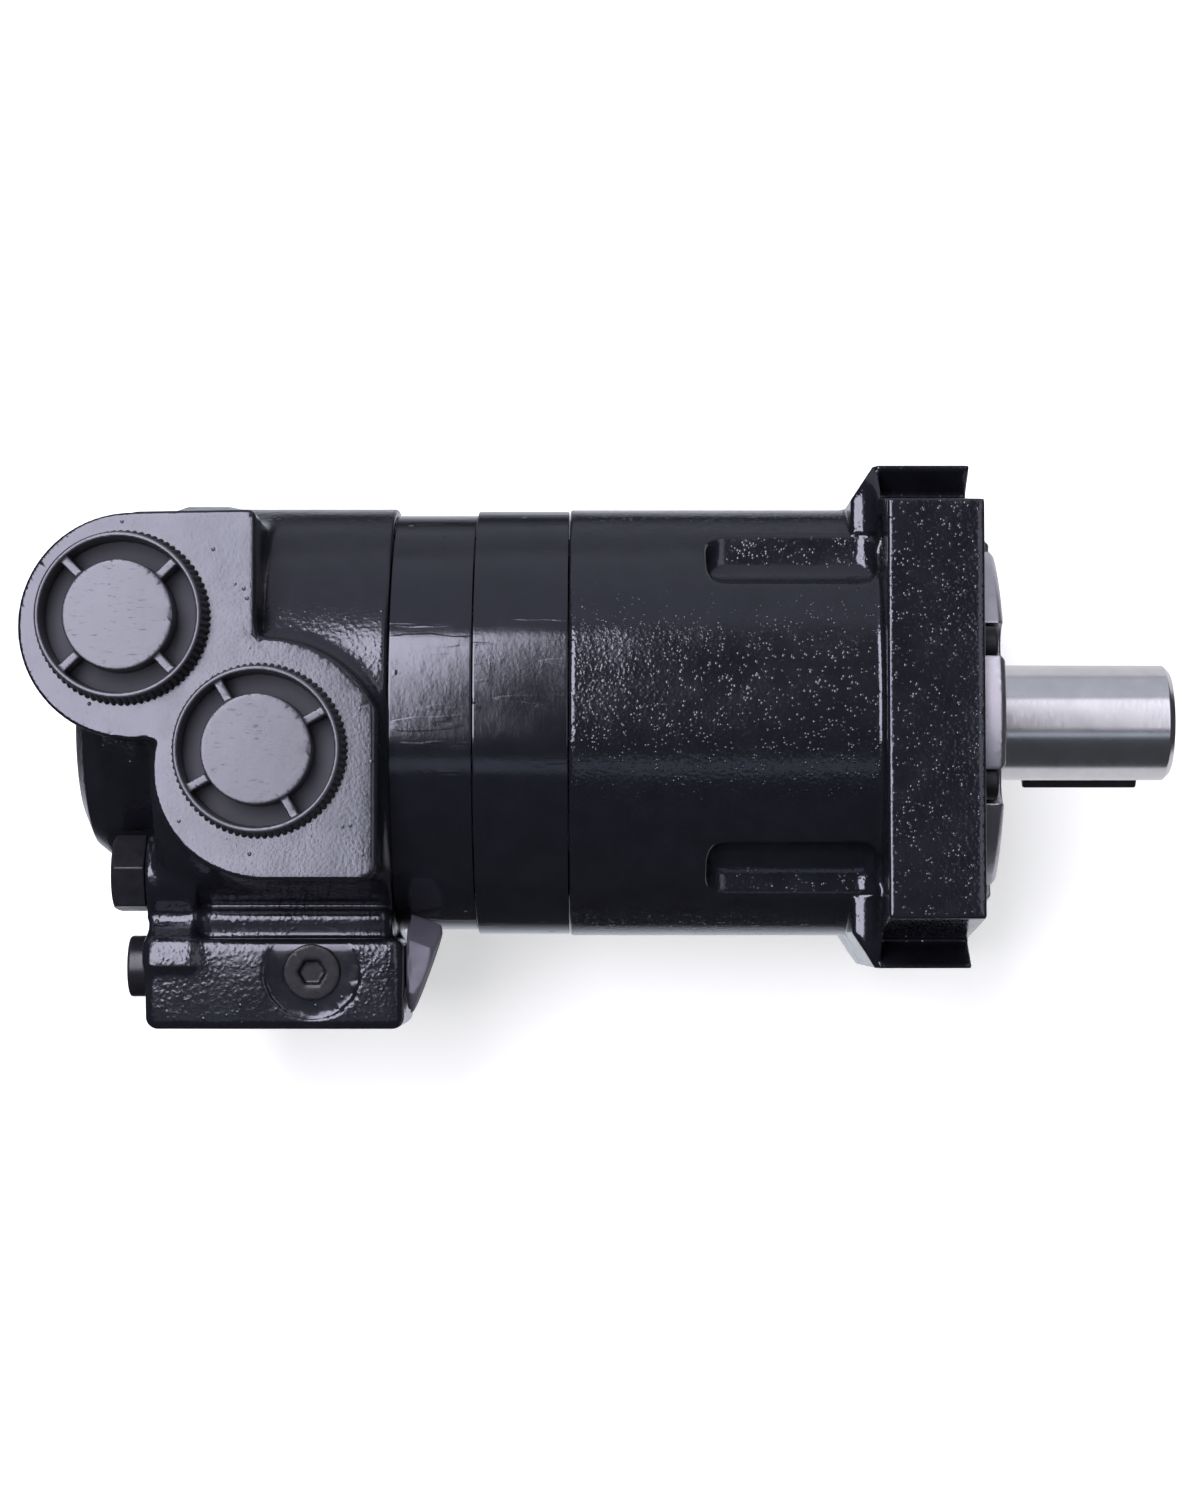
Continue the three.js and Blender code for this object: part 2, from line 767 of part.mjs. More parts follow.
// Outline of the machined port pad in (x, y): a lobe around each port, a step between them.
function portPadOutline() {
  const angleFrom = ({ u, y }, pointU, pointY) => Math.atan2(pointY - y, pointU - u);
  const turnA = angleFrom(padA, padWaist.u, padWaist.y);
  const turnB = angleFrom(padB, padWaist.u, padWaist.y);
  const shoulderStart = Math.acos((padRight - padShoulder.u) / padShoulder.radius);
  const { from, to, corner } = padStepFoot;
  const shape = new THREE.Shape();
  shape.moveTo(at(padStep - corner), padTop);
  shape.lineTo(at(padA.u), padA.y + padA.radius);
  shape.absarc(at(padA.u), padA.y, padA.radius, Math.PI / 2, 2 * Math.PI + turnA);
  shape.absarc(at(padB.u), padB.y, padB.radius, turnB, 1.5 * Math.PI);
  shape.lineTo(at(padRight - padCorner), padBottom);
  shape.absarc(at(padRight - padCorner), padBottom + padCorner, padCorner, -Math.PI / 2, 0);
  shape.absarc(at(padShoulder.u), padShoulder.y, padShoulder.radius, shoulderStart, Math.PI / 2 - 0.02);
  shape.quadraticCurveTo(at(padStep), from, at(padStep), to);
  shape.lineTo(at(padStep), padTop - corner);
  shape.quadraticCurveTo(at(padStep), padTop, at(padStep - corner), padTop);
  return shape;
}

function portPad() {
  const outline = portPadOutline();
  const plate = alongZ(outline, portFace - padSkirt, portFace, 10);
  const drumPart = box(-150, boltSeat, -60, 60, padRoot, portFace - padSkirt + over);
  const root = alongZ(outline, padRoot, portFace - over, 10).intersect(drumPart);
  const column = turnedUpright(
    [[0, 0], [15, 0], [padA.radius - 0.4, portFace - padSkirt + over], [0, portFace - padSkirt + over]],
    padA.u,
    padA.y,
    medium,
  );
  return join(plate, root, column);
}

// The block, the low web that runs along it and the sloping rib behind its rear end.
function shuttleBlock() {
  const { front, bottom, top, near, far, corner } = block;
  const main = alongX(roundedRectangle(bottom, top, far, near, corner), front, boltSeat, 4);
  const plan = roundedRectangle(at(boltSeat), at(front), bottom, top + over, corner);
  const plate = box(plateRear - gap / 2, boltSeat + corner, top - corner, web.top, far, web.near);
  const ribSide = polygon([
    [top - corner, web.near - over],
    [top - corner, rearRib.foot],
    [rearRib.top, rearRib.topNear],
    [rearRib.rootY, rearRib.rootNear],
    [rearRib.rootY, web.near - over],
  ]);
  const rib = alongX(ribSide, rearRib.front, boltSeat + over);
  return join(main.intersect(alongZ(plan, far - over, near + over, 4)), plate, rib);
}

function coverShell() {
  const front = plateRear - gap / 2;
  const drum = turned(
    [
      [front, 0],
      [front, coverRadius],
      [coverRear + coverChamfer, coverRadius],
      [coverRear, coverRadius - coverChamfer],
      [coverRear, 0],
    ],
    large,
  );
  const dome = turned(
    [
      [-210, 0],
      [-210, domeRadius],
      [-226, domeRadius],
      [-233, domeRadius - 2],
      [-237.5, domeRadius - 6.5],
      [domeRear, domeRadius - 14],
      [domeRear, 0],
    ],
    medium,
  );
  const drainBoss = rodX(-200, drain.rear, drain.y, drain.z, drain.bossRadius, small);
  const tieBosses = tieCircle.map(({ y, z }) =>
    rodX(coverRear + tieBossRoot, boltSeat, y, z, tieBossRadius, small + 4));
  return join(drum, dome, drainBoss, ...tieBosses, shuttleBlock(), portPad());
}

function coverCavity() {
  return turned(
    [
      [plateRear + over, 0],
      [plateRear + over, cavityRadius],
      [discRear - 0.2, cavityRadius],
      [discRear - 0.2, guideRadius],
      [cavityRear, guideRadius],
      [cavityRear, 0],
    ],
    medium,
  );
}

// Oil ways from the bottom of each port bore into the cavity.
function oilWays() {
  const fromB = rod([at(-182), portB.y, 50], [at(-163), portB.y, 27], 4.5, 14);
  const fromA = rod([at(portA.u), portA.y, 51], [at(-182), 8, 8], 5, 14);
  return [fromA, fromB];
}

function valveHousing() {
  const bores = [portA, portB].map(({ u, y }) =>
    rodZ(u, y, portFace - portBoreDepth, portFace + over, portBoreRadius, medium));
  const spots = tieCircle.map(({ y, z }) => rodX(boltSeat, -250, y, z, tieSpotRadius, small + 4));
  const shuttleBore = rodX(block.front + over, boltSeat - over, shuttle.y, shuttle.z, shuttle.bore, small);
  const reliefSpot = rodZ(relief.u, relief.y, block.near - relief.spotDepth, block.near + over,
    relief.spotRadius, medium);
  const reliefBore = rodZ(relief.u, relief.y, relief.floor, block.near, relief.bore, small);
  const reliefSeat = rodZ(relief.u, relief.y, shuttle.z, relief.floor + over, 2.4, 12);
  const drainBore = rodX(-196, drain.rear - over, drain.y, drain.z, drain.bore + gap, small);
  return cut(
    coverShell(),
    ...spots,
    coverCavity(),
    ...tieHoles(plateRear, boltSeat),
    ...bores,
    ...oilWays(),
    shuttleBore,
    reliefSpot,
    reliefBore,
    reliefSeat,
    drainBore,
  );
}

function tieBolt({ y, z }) {
  const seat = boltSeat - gap;
  const head = alongX(hexagon(tieFlats, Math.PI / 6, [y, z]), seat, seat - tieHeadHeight);
  const crown = turned(
    [
      [seat + over, 0],
      [seat + over, tieFlats],
      [seat - tieHeadHeight + 1.5, tieFlats / Math.sqrt(3) + 0.1],
      [seat - tieHeadHeight, tieFlats / 2 - 0.2],
      [seat - tieHeadHeight, 0],
    ],
    small + 4,
  ).translate([0, y, z]);
  return join(head.intersect(crown), rodX(tieFront, seat - 1, y, z, tieRadius, small));
}

// ---------------------------------------------------------------- shuttle, relief and drain

function shuttleSpool() {
  const radius = shuttle.bore - gap;
  const { front, rear } = shuttle;
  const middle = (front + rear) / 2;
  const profile = [
    [front, 0],
    [front, radius],
    [middle + 3, radius],
    [middle + 3, radius - 2.2],
    [middle - 3, radius - 2.2],
    [middle - 3, radius],
    [rear, radius],
    [rear, 0],
  ];
  return turned(profile, small).translate([0, shuttle.y, shuttle.z]);
}

const shuttlePoint = (start, direction) => (along, a, b) =>
  new THREE.Vector3(at(start) + direction * along, shuttle.y + a, shuttle.z + b);

const springRoom = 15;

const frontShuttleSpring = () =>
  coilSpring(shuttlePoint(shuttle.front + 1.4, 1), 4.4, springRoom - 1, 4, 0.8);

const rearShuttleSpring = () =>
  coilSpring(shuttlePoint(shuttle.rear - 1.4, -1), 4.4, springRoom - 1, 4, 0.8);

// Plug at the front end of the shuttle bore: a round collar under a hex head that leans outwards.
function frontShuttlePlug() {
  const { flats, length, chamfer, collarRadius, tilt } = slantedHead;
  const seat = block.front + gap;
  const rim = seat + slantedHead.collar;
  const base = rodX(rim, seat, shuttle.y, shuttle.z, collarRadius, medium);
  const stem = rodX(rim, shuttle.front + springRoom + 2, shuttle.y, shuttle.z, shuttle.bore - gap, small);
  const crown = turned(
    [
      [-flats, 0],
      [-flats, flats],
      [length - chamfer, flats / Math.sqrt(3) + 0.1],
      [length, flats / 2 - 0.4],
      [length, 0],
    ],
    medium,
  );
  const head = alongX(hexagon(flats, 0), length, -flats)
    .intersect(crown)
    .translate([shaftLength, 0, 0])
    .rotate([0, 0, tilt])
    .translate([at(rim), shuttle.y, shuttle.z])
    .subtract(box(rim - 0.4, rim - 3 * flats, -3 * flats - flangeHalf, 0, -flangeHalf, flangeHalf));
  return join(head, base, stem);
}

// Round socket plug at the rear end of the shuttle bore.
function rearShuttlePlug() {
  const seat = boltSeat - gap;
  const head = rodX(seat, seat - 5.5, shuttle.y, shuttle.z, shuttle.plugRadius, 24);
  const inside = shuttle.rear - springRoom - 2;
  const stem = rodX(inside, seat - over, shuttle.y, shuttle.z, shuttle.bore - gap, small);
  const socket = alongX(hexagon(6, 0, [shuttle.y, shuttle.z]), seat - 2.5, seat - 5.5 - over);
  return cut(join(head, stem), socket);
}

function reliefPlug() {
  const seat = block.near - relief.spotDepth + gap;
  const head = rodZ(relief.u, relief.y, seat, seat + 1.4, 7.5, 24);
  const stem = rodZ(relief.u, relief.y, seat - 3.4, seat + 0.5, relief.bore - gap, small);
  const socket = rodZ(relief.u, relief.y, seat - 2, seat + 2, 3.7, 6);
  return cut(join(head, stem), socket);
}

function reliefPoppet() {
  const base = relief.floor;
  return turnedUpright(
    [[0, base - 1.2], [1.6, base - 0.6], [4.6, base + 1.8], [4.6, base + 3.2], [0, base + 3.2]],
    relief.u,
    relief.y,
    small,
  );
}

const reliefSpring = () =>
  coilSpring(
    (along, a, b) => new THREE.Vector3(at(relief.u) + a, relief.y + b, relief.floor + 4 + along),
    3.2,
    1.6,
    1.5,
    0.4,
  );

function drainPlug() {
  const seat = drain.rear - gap;
  const head = alongX(hexagon(drain.plugFlats, Math.PI / 6, [drain.y, drain.z]), seat, seat - 7.5);
  const washer = rodX(seat, seat - 1.5, drain.y, drain.z, 9.2, 20);
  const stem = rodX(drain.rear + 14, seat - over, drain.y, drain.z, drain.bore, small);
  return join(head, washer, stem);
}

// ---------------------------------------------------------------- transport caps

// A cap with a sloping skirt, a raised centre disc and four spokes in the ring between them.
function portCap({ u, y }, spokeAngle) {
  const base = portFace + gap;
  const top = base + cap.height;
  const body = turnedUpright(
    [
      [0, base - capStemLength],
      [cap.stem, base - capStemLength],
      [cap.stem, base],
      [cap.base, base],
      [cap.rim, top],
      [cap.rim - cap.wall, top],
      [cap.rim - cap.wall - 0.4, top - cap.recess],
      [cap.disc, top - cap.recess],
      [cap.disc, top - 0.4],
      [0, top - 0.4],
    ],
    u,
    y,
    28,
  );
  const spokes = [];
  for (let i = 0; i < 2; i += 1) {
    const bar = new THREE.BoxGeometry(2 * (cap.rim - cap.wall), 2, cap.recess - 1);
    bar.translate(0, 0, top - cap.recess / 2 - 0.6);
    bar.rotateZ(THREE.MathUtils.degToRad(spokeAngle + 90 * i));
    spokes.push(solid(bar.translate(at(u), y, 0)));
  }
  return join(body, ...spokes);
}

// ---------------------------------------------------------------- assembly

const motor = new THREE.Group();

function addPiece(name, body, look) {
  const mesh = new THREE.Mesh(geometryOf(body), new THREE.MeshStandardMaterial(look));
  mesh.name = name;
  motor.add(mesh);
}

addPiece("bearing_housing", bearingHousing(), blackPaint);
addPiece("seal_retainer", sealRetainer(), machinedSteel);
screwPlaces().forEach((place, i) => addPiece(`retainer_screw_${i + 1}`, retainerScrew(place), blackOxide));
addPiece("dust_seal", dustSeal(), sealRubber);
addPiece("shaft_seal", shaftSeal(), sealRubber);
addPiece("output_shaft", outputShaft(), machinedSteel);
addPiece("shaft_key", keySolid(0), blackOxide);
addPiece("front_bearing_cup", bearingCup(frontBearing), hardSteel);
addPiece("front_bearing_cone", bearingCone(frontBearing), hardSteel);
addPiece("rear_bearing_cup", bearingCup(rearBearing), hardSteel);
addPiece("rear_bearing_cone", bearingCone(rearBearing), hardSteel);
addPiece("housing_o_ring", oRing(housingRear + 1.2, faceSealRadius, sealSection - 0.1), sealRubber);

addPiece("wear_plate", wearPlate(), hardSteel);
addPiece("geroler_ring", gerolerRing(), blackPaint);
addPiece("rotor", rotor(), hardSteel);
for (let i = 0; i < rollerCount; i += 1) {
  addPiece(`roller_${i + 1}`, roller(i), hardSteel);
}
addPiece("ring_o_ring", oRing(ringRear + 1.2, faceSealRadius, sealSection - 0.1), sealRubber);

addPiece("drive_link", driveLink(), hardSteel);
addPiece("drive_spacer", driveSpacer(), hardSteel);
addPiece("valve_link", valveLink(), hardSteel);

addPiece("valve_plate", valvePlate(), blackPaint);
addPiece("plate_o_ring", oRing(plateRear + 1.2, faceSealRadius, sealSection - 0.1), sealRubber);
addPiece("disc_valve", discValve(), sinteredBronze);
addPiece("balance_ring", balanceRing(), hardSteel);
addPiece("balance_spring", balanceSpring(), springSteel);

addPiece("valve_housing", valveHousing(), blackPaint);
tieCircle.forEach((place, i) => addPiece(`tie_bolt_${i + 1}`, tieBolt(place), blackOxide));

addPiece("shuttle_spool", shuttleSpool(), hardSteel);
addPiece("front_shuttle_spring", frontShuttleSpring(), springSteel);
addPiece("rear_shuttle_spring", rearShuttleSpring(), springSteel);
addPiece("front_shuttle_plug", frontShuttlePlug(), blackOxide);
addPiece("rear_shuttle_plug", rearShuttlePlug(), blackOxide);
addPiece("relief_poppet", reliefPoppet(), hardSteel);
addPiece("relief_spring", reliefSpring(), springSteel);
addPiece("relief_plug", reliefPlug(), blackOxide);
addPiece("drain_plug", drainPlug(), machinedSteel);

addPiece("port_cap_a", portCap(portA, 44), capPlastic);
addPiece("port_cap_b", portCap(portB, 30), capPlastic);

export default motor;
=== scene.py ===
"""Orbital hydraulic motor, lying on its flange with the two hose ports up.

Castings, plastic caps and plugs are built as signed distance fields on a fine grid and turned into meshes,
so that cast fillets and rounded machined edges come out as they would on the real part. The round rings and
the shaft are turned meshes with holes cut into them. Millimetres are used throughout and scaled at the end;
stations along the motor are measured from the flange's mounting face, as in the part's source.
"""

import math

import bmesh
import bpy
import numpy as np
import openvdb
from mathutils import Matrix, Vector


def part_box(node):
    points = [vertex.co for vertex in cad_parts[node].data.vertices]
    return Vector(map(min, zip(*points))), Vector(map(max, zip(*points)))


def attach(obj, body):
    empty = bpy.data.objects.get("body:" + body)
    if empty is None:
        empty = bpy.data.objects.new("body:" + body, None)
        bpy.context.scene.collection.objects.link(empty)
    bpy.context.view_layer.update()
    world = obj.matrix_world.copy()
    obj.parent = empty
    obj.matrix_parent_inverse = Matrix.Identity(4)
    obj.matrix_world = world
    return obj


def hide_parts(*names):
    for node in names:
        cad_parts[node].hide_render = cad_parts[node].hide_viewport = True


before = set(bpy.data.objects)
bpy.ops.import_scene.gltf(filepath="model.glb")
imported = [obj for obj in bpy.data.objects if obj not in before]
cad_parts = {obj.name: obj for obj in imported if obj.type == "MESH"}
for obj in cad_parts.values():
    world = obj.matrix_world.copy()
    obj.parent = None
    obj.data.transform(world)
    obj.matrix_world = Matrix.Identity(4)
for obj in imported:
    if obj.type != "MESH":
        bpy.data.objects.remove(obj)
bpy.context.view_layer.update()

# ---------------------------------------------------------------- driving dimensions, in millimetres

MM = 0.001
GAP = 0.3
SHAFT_LENGTH = -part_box("bearing_housing")[1].x / MM

# Grid steps of the distance fields: the two castings, the seal retainer, the caps and the small pieces.
CASTING_STEP = 0.55
RETAINER_STEP = 0.42
SMALL_STEP = 0.28
CAP_STEP = SMALL_STEP * 1.15

SHAFT_RADIUS = 15.875
KEY_WIDTH, KEY_LENGTH, KEY_START = 7.94, 31.75, 19.2
KEY_ANGLE = math.radians(220)
SEAL_LAND, SEAL_LAND_END = 17.5, 6.8

FRONT_CUP_FACE, REAR_CUP_FACE, CUP_END, CUP_BORE = -33.3, -75.7, -98.4, 36.8
SPIGOT_BORE, FRONT_CUP_BORE = 40, 35
SPLINE_ROOT, SPLINE_TIP, SPLINE_FRONT, SPLINE_TEETH = 12.2, 14.2, -66, 8
FACE_SEAL_INNER, FACE_SEAL_OUTER, FACE_SEAL_DEPTH = 39.9, 42.7, 2.6

FLANGE_THICKNESS = 25
FLANGE_QUARTER = [(53.7, 67), (59.4, 23.4), (67, 34.6)]
FLANGE_HALF = 67
BOLT_OFFSET = 44.9
BOLT_HOLE = 7.15
POCKET_RADIUS, POCKET_REAR, POCKET_CORNER = 11.3, -70.7, 6
GUSSET_REAR, GUSSET_HALF = -31.7, 31
HOUSING_RADIUS, HOUSING_REAR = 58.6, -106.7
PILOT_RADIUS, PILOT_HEIGHT, RECESS = 50.8, 7.5, 5
SCREW_CIRCLE, SCREW_HEAD, SCREW_HEIGHT, SCREW_SEAT = 47.5, 4.9, 4.8, 0.8
SCREW_HOLE, SCREW_COUNT = 3.3, 8

RING_RADIUS, RING_REAR, RING_BORE = 58.2, -131.7, 32
ROLLER_CIRCLE, ROLLER_RADIUS, ROLLER_COUNT = 32.5, 5.65, 7
PLATE_RADIUS, PLATE_REAR, PLATE_BORE = 57, -153.5, 15.6
PASSAGE_CIRCLE, PASSAGE_RADIUS = 25, 2.8
TIE_POINTS = [(41.8, 27.5), (41.8, -27.5), (-41.8, -27.5), (-41.8, 27.5)]
TIE_RADIUS, TIE_FLATS, TIE_HEAD, TIE_TURN = 6, 19, 9, math.radians(37)
TIE_BOSS = 11.6

COVER_FRONT = PLATE_REAR - GAP / 2
COVER_RADIUS, COVER_REAR, BOLT_SEAT = 58.8, -215, -218.5
DOME_RADIUS, DOME_REAR = 38.5, -240
PORT_FACE = 66
PORT_A, PORT_B = (-220.6, 23.1), (-185.4, -10.9)
PORT_BORE, PORT_DEPTH = 11.1, 17
PAD_A, PAD_B, PAD_SHOULDER = (-218.5, 21.2, 29.1), (-184.5, -15.3, 28.4), (-184.5, -14.3, 32)
PAD_WAIST = (-214.6, -7.9)
PAD_TOP, PAD_BOTTOM, PAD_RIGHT, PAD_STEP, PAD_SKIRT = 50.8, -43.7, -155.6, -186.9, 14
BLOCK = {"front": -150.2, "bottom": -83, "top": -59, "near": 40, "far": -8}
SHUTTLE_Y, SHUTTLE_Z, SHUTTLE_BORE = -66.6, 22, 6
RELIEF_U, RELIEF_Y, RELIEF_BORE, RELIEF_FLOOR = -174.3, -68, 5.5, 30
RELIEF_HEAD, SPOT_RADIUS, SPOT_DEPTH = 7.5, 12.6, 0.6
BLOCK_LEAN, SHELF_LEAN = math.radians(8), math.radians(12)
DRAIN_Y, DRAIN_REAR, DRAIN_BORE, DRAIN_BOSS = 47.5, -231, 6.3, 10.8

CAP_BASE, CAP_RIM, CAP_DISC, CAP_HEIGHT, CAP_RECESS, CAP_WALL = 22.8, 21.2, 14.1, 9.7, 8.5, 1.2
CAP_TEETH, CAP_TOOTH_DEPTH, CAP_SPOKE, CAP_STEM = 79, 0.95, 1.15, 10.6


# ---------------------------------------------------------------- outlines


def rounded(points, radius, steps=6):
    """A closed outline with every corner replaced by an arc of that radius, or less where it doesn't fit."""
    count = len(points)
    made = []
    for i in range(count):
        before, corner, after = (np.array(points[(i + k) % count], float) for k in (-1, 0, 1))
        a, b = before - corner, after - corner
        la, lb = np.linalg.norm(a), np.linalg.norm(b)
        a, b = a / la, b / lb
        half = math.acos(float(np.clip(a @ b, -1, 1))) / 2
        if radius <= 0 or half > math.radians(88):
            made.append(tuple(corner))
            continue
        reach = min(radius / math.tan(half), 0.45 * la, 0.45 * lb)
        arc = reach * math.tan(half)
        middle = corner + (a + b) / np.linalg.norm(a + b) * arc / math.sin(half)
        start, end = corner + a * reach - middle, corner + b * reach - middle
        first = math.atan2(start[1], start[0])
        sweep = (math.atan2(end[1], end[0]) - first + math.pi) % (2 * math.pi) - math.pi
        for k in range(steps + 1):
            angle = first + sweep * k / steps
            made.append((middle[0] + arc * math.cos(angle), middle[1] + arc * math.sin(angle)))
    return made


def arc_points(centre_a, centre_b, radius, first, last, steps):
    angles = np.linspace(first, last, steps)
    return [(centre_a + radius * math.cos(t), centre_b + radius * math.sin(t)) for t in angles]


def regular(sides, corner_radius, first=0.0, centre=(0, 0)):
    return arc_points(*centre, corner_radius, first, first + 2 * math.pi, sides + 1)[:-1]


def mirrored(quarter):
    """An outline in (y, z) from the points of its first quarter."""
    half = [*quarter, *((y, -z) for y, z in quarter[::-1])]
    return half + [(-y, -z) for y, z in half]


def outline_distance(points, a, b):
    """Signed distance from every (a, b) to a closed outline: below zero inside it."""
    a, b = np.broadcast_arrays(a, b)
    nearest = np.full(a.shape, 1e9, np.float32)
    inside = np.zeros(a.shape, bool)
    for (a0, b0), (a1, b1) in zip(points, points[1:] + points[:1]):
        da, db = a1 - a0, b1 - b0
        length = da * da + db * db
        if length < 1e-12:
            continue
        t = np.clip(((a - a0) * da + (b - b0) * db) / length, 0, 1)
        nearest = np.minimum(nearest, (a - a0 - t * da) ** 2 + (b - b0 - t * db) ** 2)
        if b0 != b1:
            crosses = (b0 > b) != (b1 > b)
            inside ^= crosses & (a < (b - b0) * da / db + a0)
    return np.where(inside, -1, 1) * np.sqrt(nearest)


# ---------------------------------------------------------------- distance fields


def corner(a, b, edge=0.0):
    """Where both distances are below zero, with the edge between them rounded."""
    if edge == 0:
        return np.maximum(a, b)
    a, b = a + edge, b + edge
    outside = np.sqrt(np.maximum(a, 0) ** 2 + np.maximum(b, 0) ** 2)
    return outside + np.minimum(np.maximum(a, b), 0) - edge


def smooth_min(a, b, blend):
    if blend == 0:
        return np.minimum(a, b)
    h = np.maximum(blend - np.abs(a - b), 0) / blend
    return np.minimum(a, b) - h * h * blend / 4


def between(value, low, high):
    return np.maximum(low - value, value - high)


def rod_x(front, rear, y0, z0, radius, edge=0.0):
    return lambda u, y, z: corner(np.hypot(y - y0, z - z0) - radius, between(u, rear, front), edge)


def rod_z(u0, y0, radius, low, high, edge=0.0):
    return lambda u, y, z: corner(np.hypot(u - u0, y - y0) - radius, between(z, low, high), edge)


def rod_between(start, end, radius):
    """A round rod with round ends."""
    (u0, y0, z0), (u1, y1, z1) = start, end
    du, dy, dz = u1 - u0, y1 - y0, z1 - z0

    def distance(u, y, z):
        along = ((u - u0) * du + (y - y0) * dy + (z - z0) * dz) / (du * du + dy * dy + dz * dz)
        t = np.clip(along, 0, 1)
        return np.sqrt((u - u0 - t * du) ** 2 + (y - y0 - t * dy) ** 2 + (z - z0 - t * dz) ** 2) - radius

    return distance


def block_shape(low, high, edge=0.0):
    def distance(u, y, z):
        parts = [between(v, lo, hi) + edge for v, lo, hi in zip((u, y, z), low, high)]
        outside = np.sqrt(sum(np.maximum(p, 0) ** 2 for p in parts))
        return outside + np.minimum(np.maximum(np.maximum(parts[0], parts[1]), parts[2]), 0) - edge

    return distance


def along_x(points, front, rear, edge=0.0):
    return lambda u, y, z: corner(outline_distance(points, y, z), between(u, rear, front), edge)


def along_z(points, low, high, edge=0.0):
    return lambda u, y, z: corner(outline_distance(points, u, y), between(z, low, high), edge)


def table_lookup(table, radius, step):
    place = np.minimum(radius / step, table.shape[1] - 2)
    index = place.astype(np.int32)
    share = (place - index).astype(np.float32)
    return table[:, index] * (1 - share) + table[:, index + 1] * share


def turned(points, ring=False):
    """Turned about the motor's axis from (station, radius) points: a ring, or a body on the axis."""
    outline = points if ring else points + [(s, -r) for s, r in points[::-1]]

    def distance(u, y, z):
        step = 0.1
        radii = np.arange(0, 110, step, dtype=np.float32)[None, :]
        table = outline_distance(outline, u[:, :, 0], radii)
        return table_lookup(table.astype(np.float32), np.hypot(y, z)[0], step)

    return distance


def turned_up(points, u0=0.0, y0=0.0):
    """Turned about an axis along Z: points are (radius, height), closed along the axis."""

    def distance(u, y, z):
        step = 0.05
        radii = np.arange(0, 60, step, dtype=np.float32)[None, :]
        mirror = [(-r, h) for r, h in points[::-1]]
        table = outline_distance(points + mirror, radii, z[0, 0, :][:, None]).astype(np.float32)
        found = table_lookup(table, np.hypot(u - u0, y - y0)[:, :, 0], step)
        return np.moveaxis(found, 0, 2)

    return distance


def placed(shape, matrix):
    """The same shape moved by a matrix."""
    back = np.array(matrix.inverted())

    def distance(u, y, z):
        moved = [back[i][0] * u + back[i][1] * y + back[i][2] * z + back[i][3] for i in range(3)]
        return shape(*moved)

    return distance


class Volume:
    """A body as a signed distance field on a regular grid."""

    def __init__(self, low, high, step):
        self.step = step
        self.axes = [
            np.arange(start - 3 * step, end + 3 * step, step, dtype=np.float32)
            for start, end in zip(low, high)
        ]
        self.field = np.full([len(axis) for axis in self.axes], 30, np.float32)

    def part(self, within):
        """The slices and coordinates of the whole grid, or of the part of it between two corners."""
        where = [slice(None)] * 3
        if within is not None:
            where = [
                slice(int(np.searchsorted(axis, lo)), int(np.searchsorted(axis, hi)))
                for axis, lo, hi in zip(self.axes, *within)
            ]
        u, y, z = (axis[cut] for axis, cut in zip(self.axes, where))
        return tuple(where), (u[:, None, None], y[None, :, None], z[None, None, :])

    def add(self, shape, blend=0.0, within=None):
        where, grid = self.part(within)
        self.field[where] = smooth_min(self.field[where], shape(*grid), blend)

    def cut(self, shape, blend=0.0, within=None):
        where, grid = self.part(within)
        self.field[where] = -smooth_min(-self.field[where], shape(*grid), blend)

    def keep(self, shape, blend=0.0):
        _, grid = self.part(None)
        self.field = -smooth_min(-self.field, -shape(*grid), blend)

    def mesh(self, name, adaptivity=0.0):
        band = 3 * self.step
        grid = openvdb.FloatGrid(band)
        grid.copyFromArray(np.clip(self.field, -band, band))
        grid.transform = openvdb.createLinearTransform(voxelSize=self.step)
        points, triangles, quads = grid.convertToPolygons(isovalue=0.0, adaptivity=adaptivity)
        points = points + np.array([axis[0] for axis in self.axes], np.float32)
        return mesh_from_arrays(name, points, quads, triangles)


def mesh_from_arrays(name, points, quads, triangles):
    """A Blender mesh in metres from points in millimetres."""
    moved = (points - np.array([SHAFT_LENGTH, 0, 0], np.float32)) * MM
    mesh = bpy.data.meshes.new(name)
    mesh.vertices.add(len(moved))
    mesh.vertices.foreach_set("co", moved.astype(np.float32).ravel())
    corners = np.concatenate([quads.ravel(), triangles.ravel()]).astype(np.int32)
    mesh.loops.add(len(corners))
    mesh.loops.foreach_set("vertex_index", corners)
    starts = np.concatenate([4 * np.arange(len(quads)), 4 * len(quads) + 3 * np.arange(len(triangles))])
    mesh.polygons.add(len(starts))
    mesh.polygons.foreach_set("loop_start", starts.astype(np.int32))
    mesh.update(calc_edges=True)
    mesh.validate()
    mesh.shade_smooth()
    return mesh


# ---------------------------------------------------------------- turned and extruded meshes


def mesh_of(bm, name):
    mesh = bpy.data.meshes.new(name)
    bm.to_mesh(mesh)
    bm.free()
    return mesh


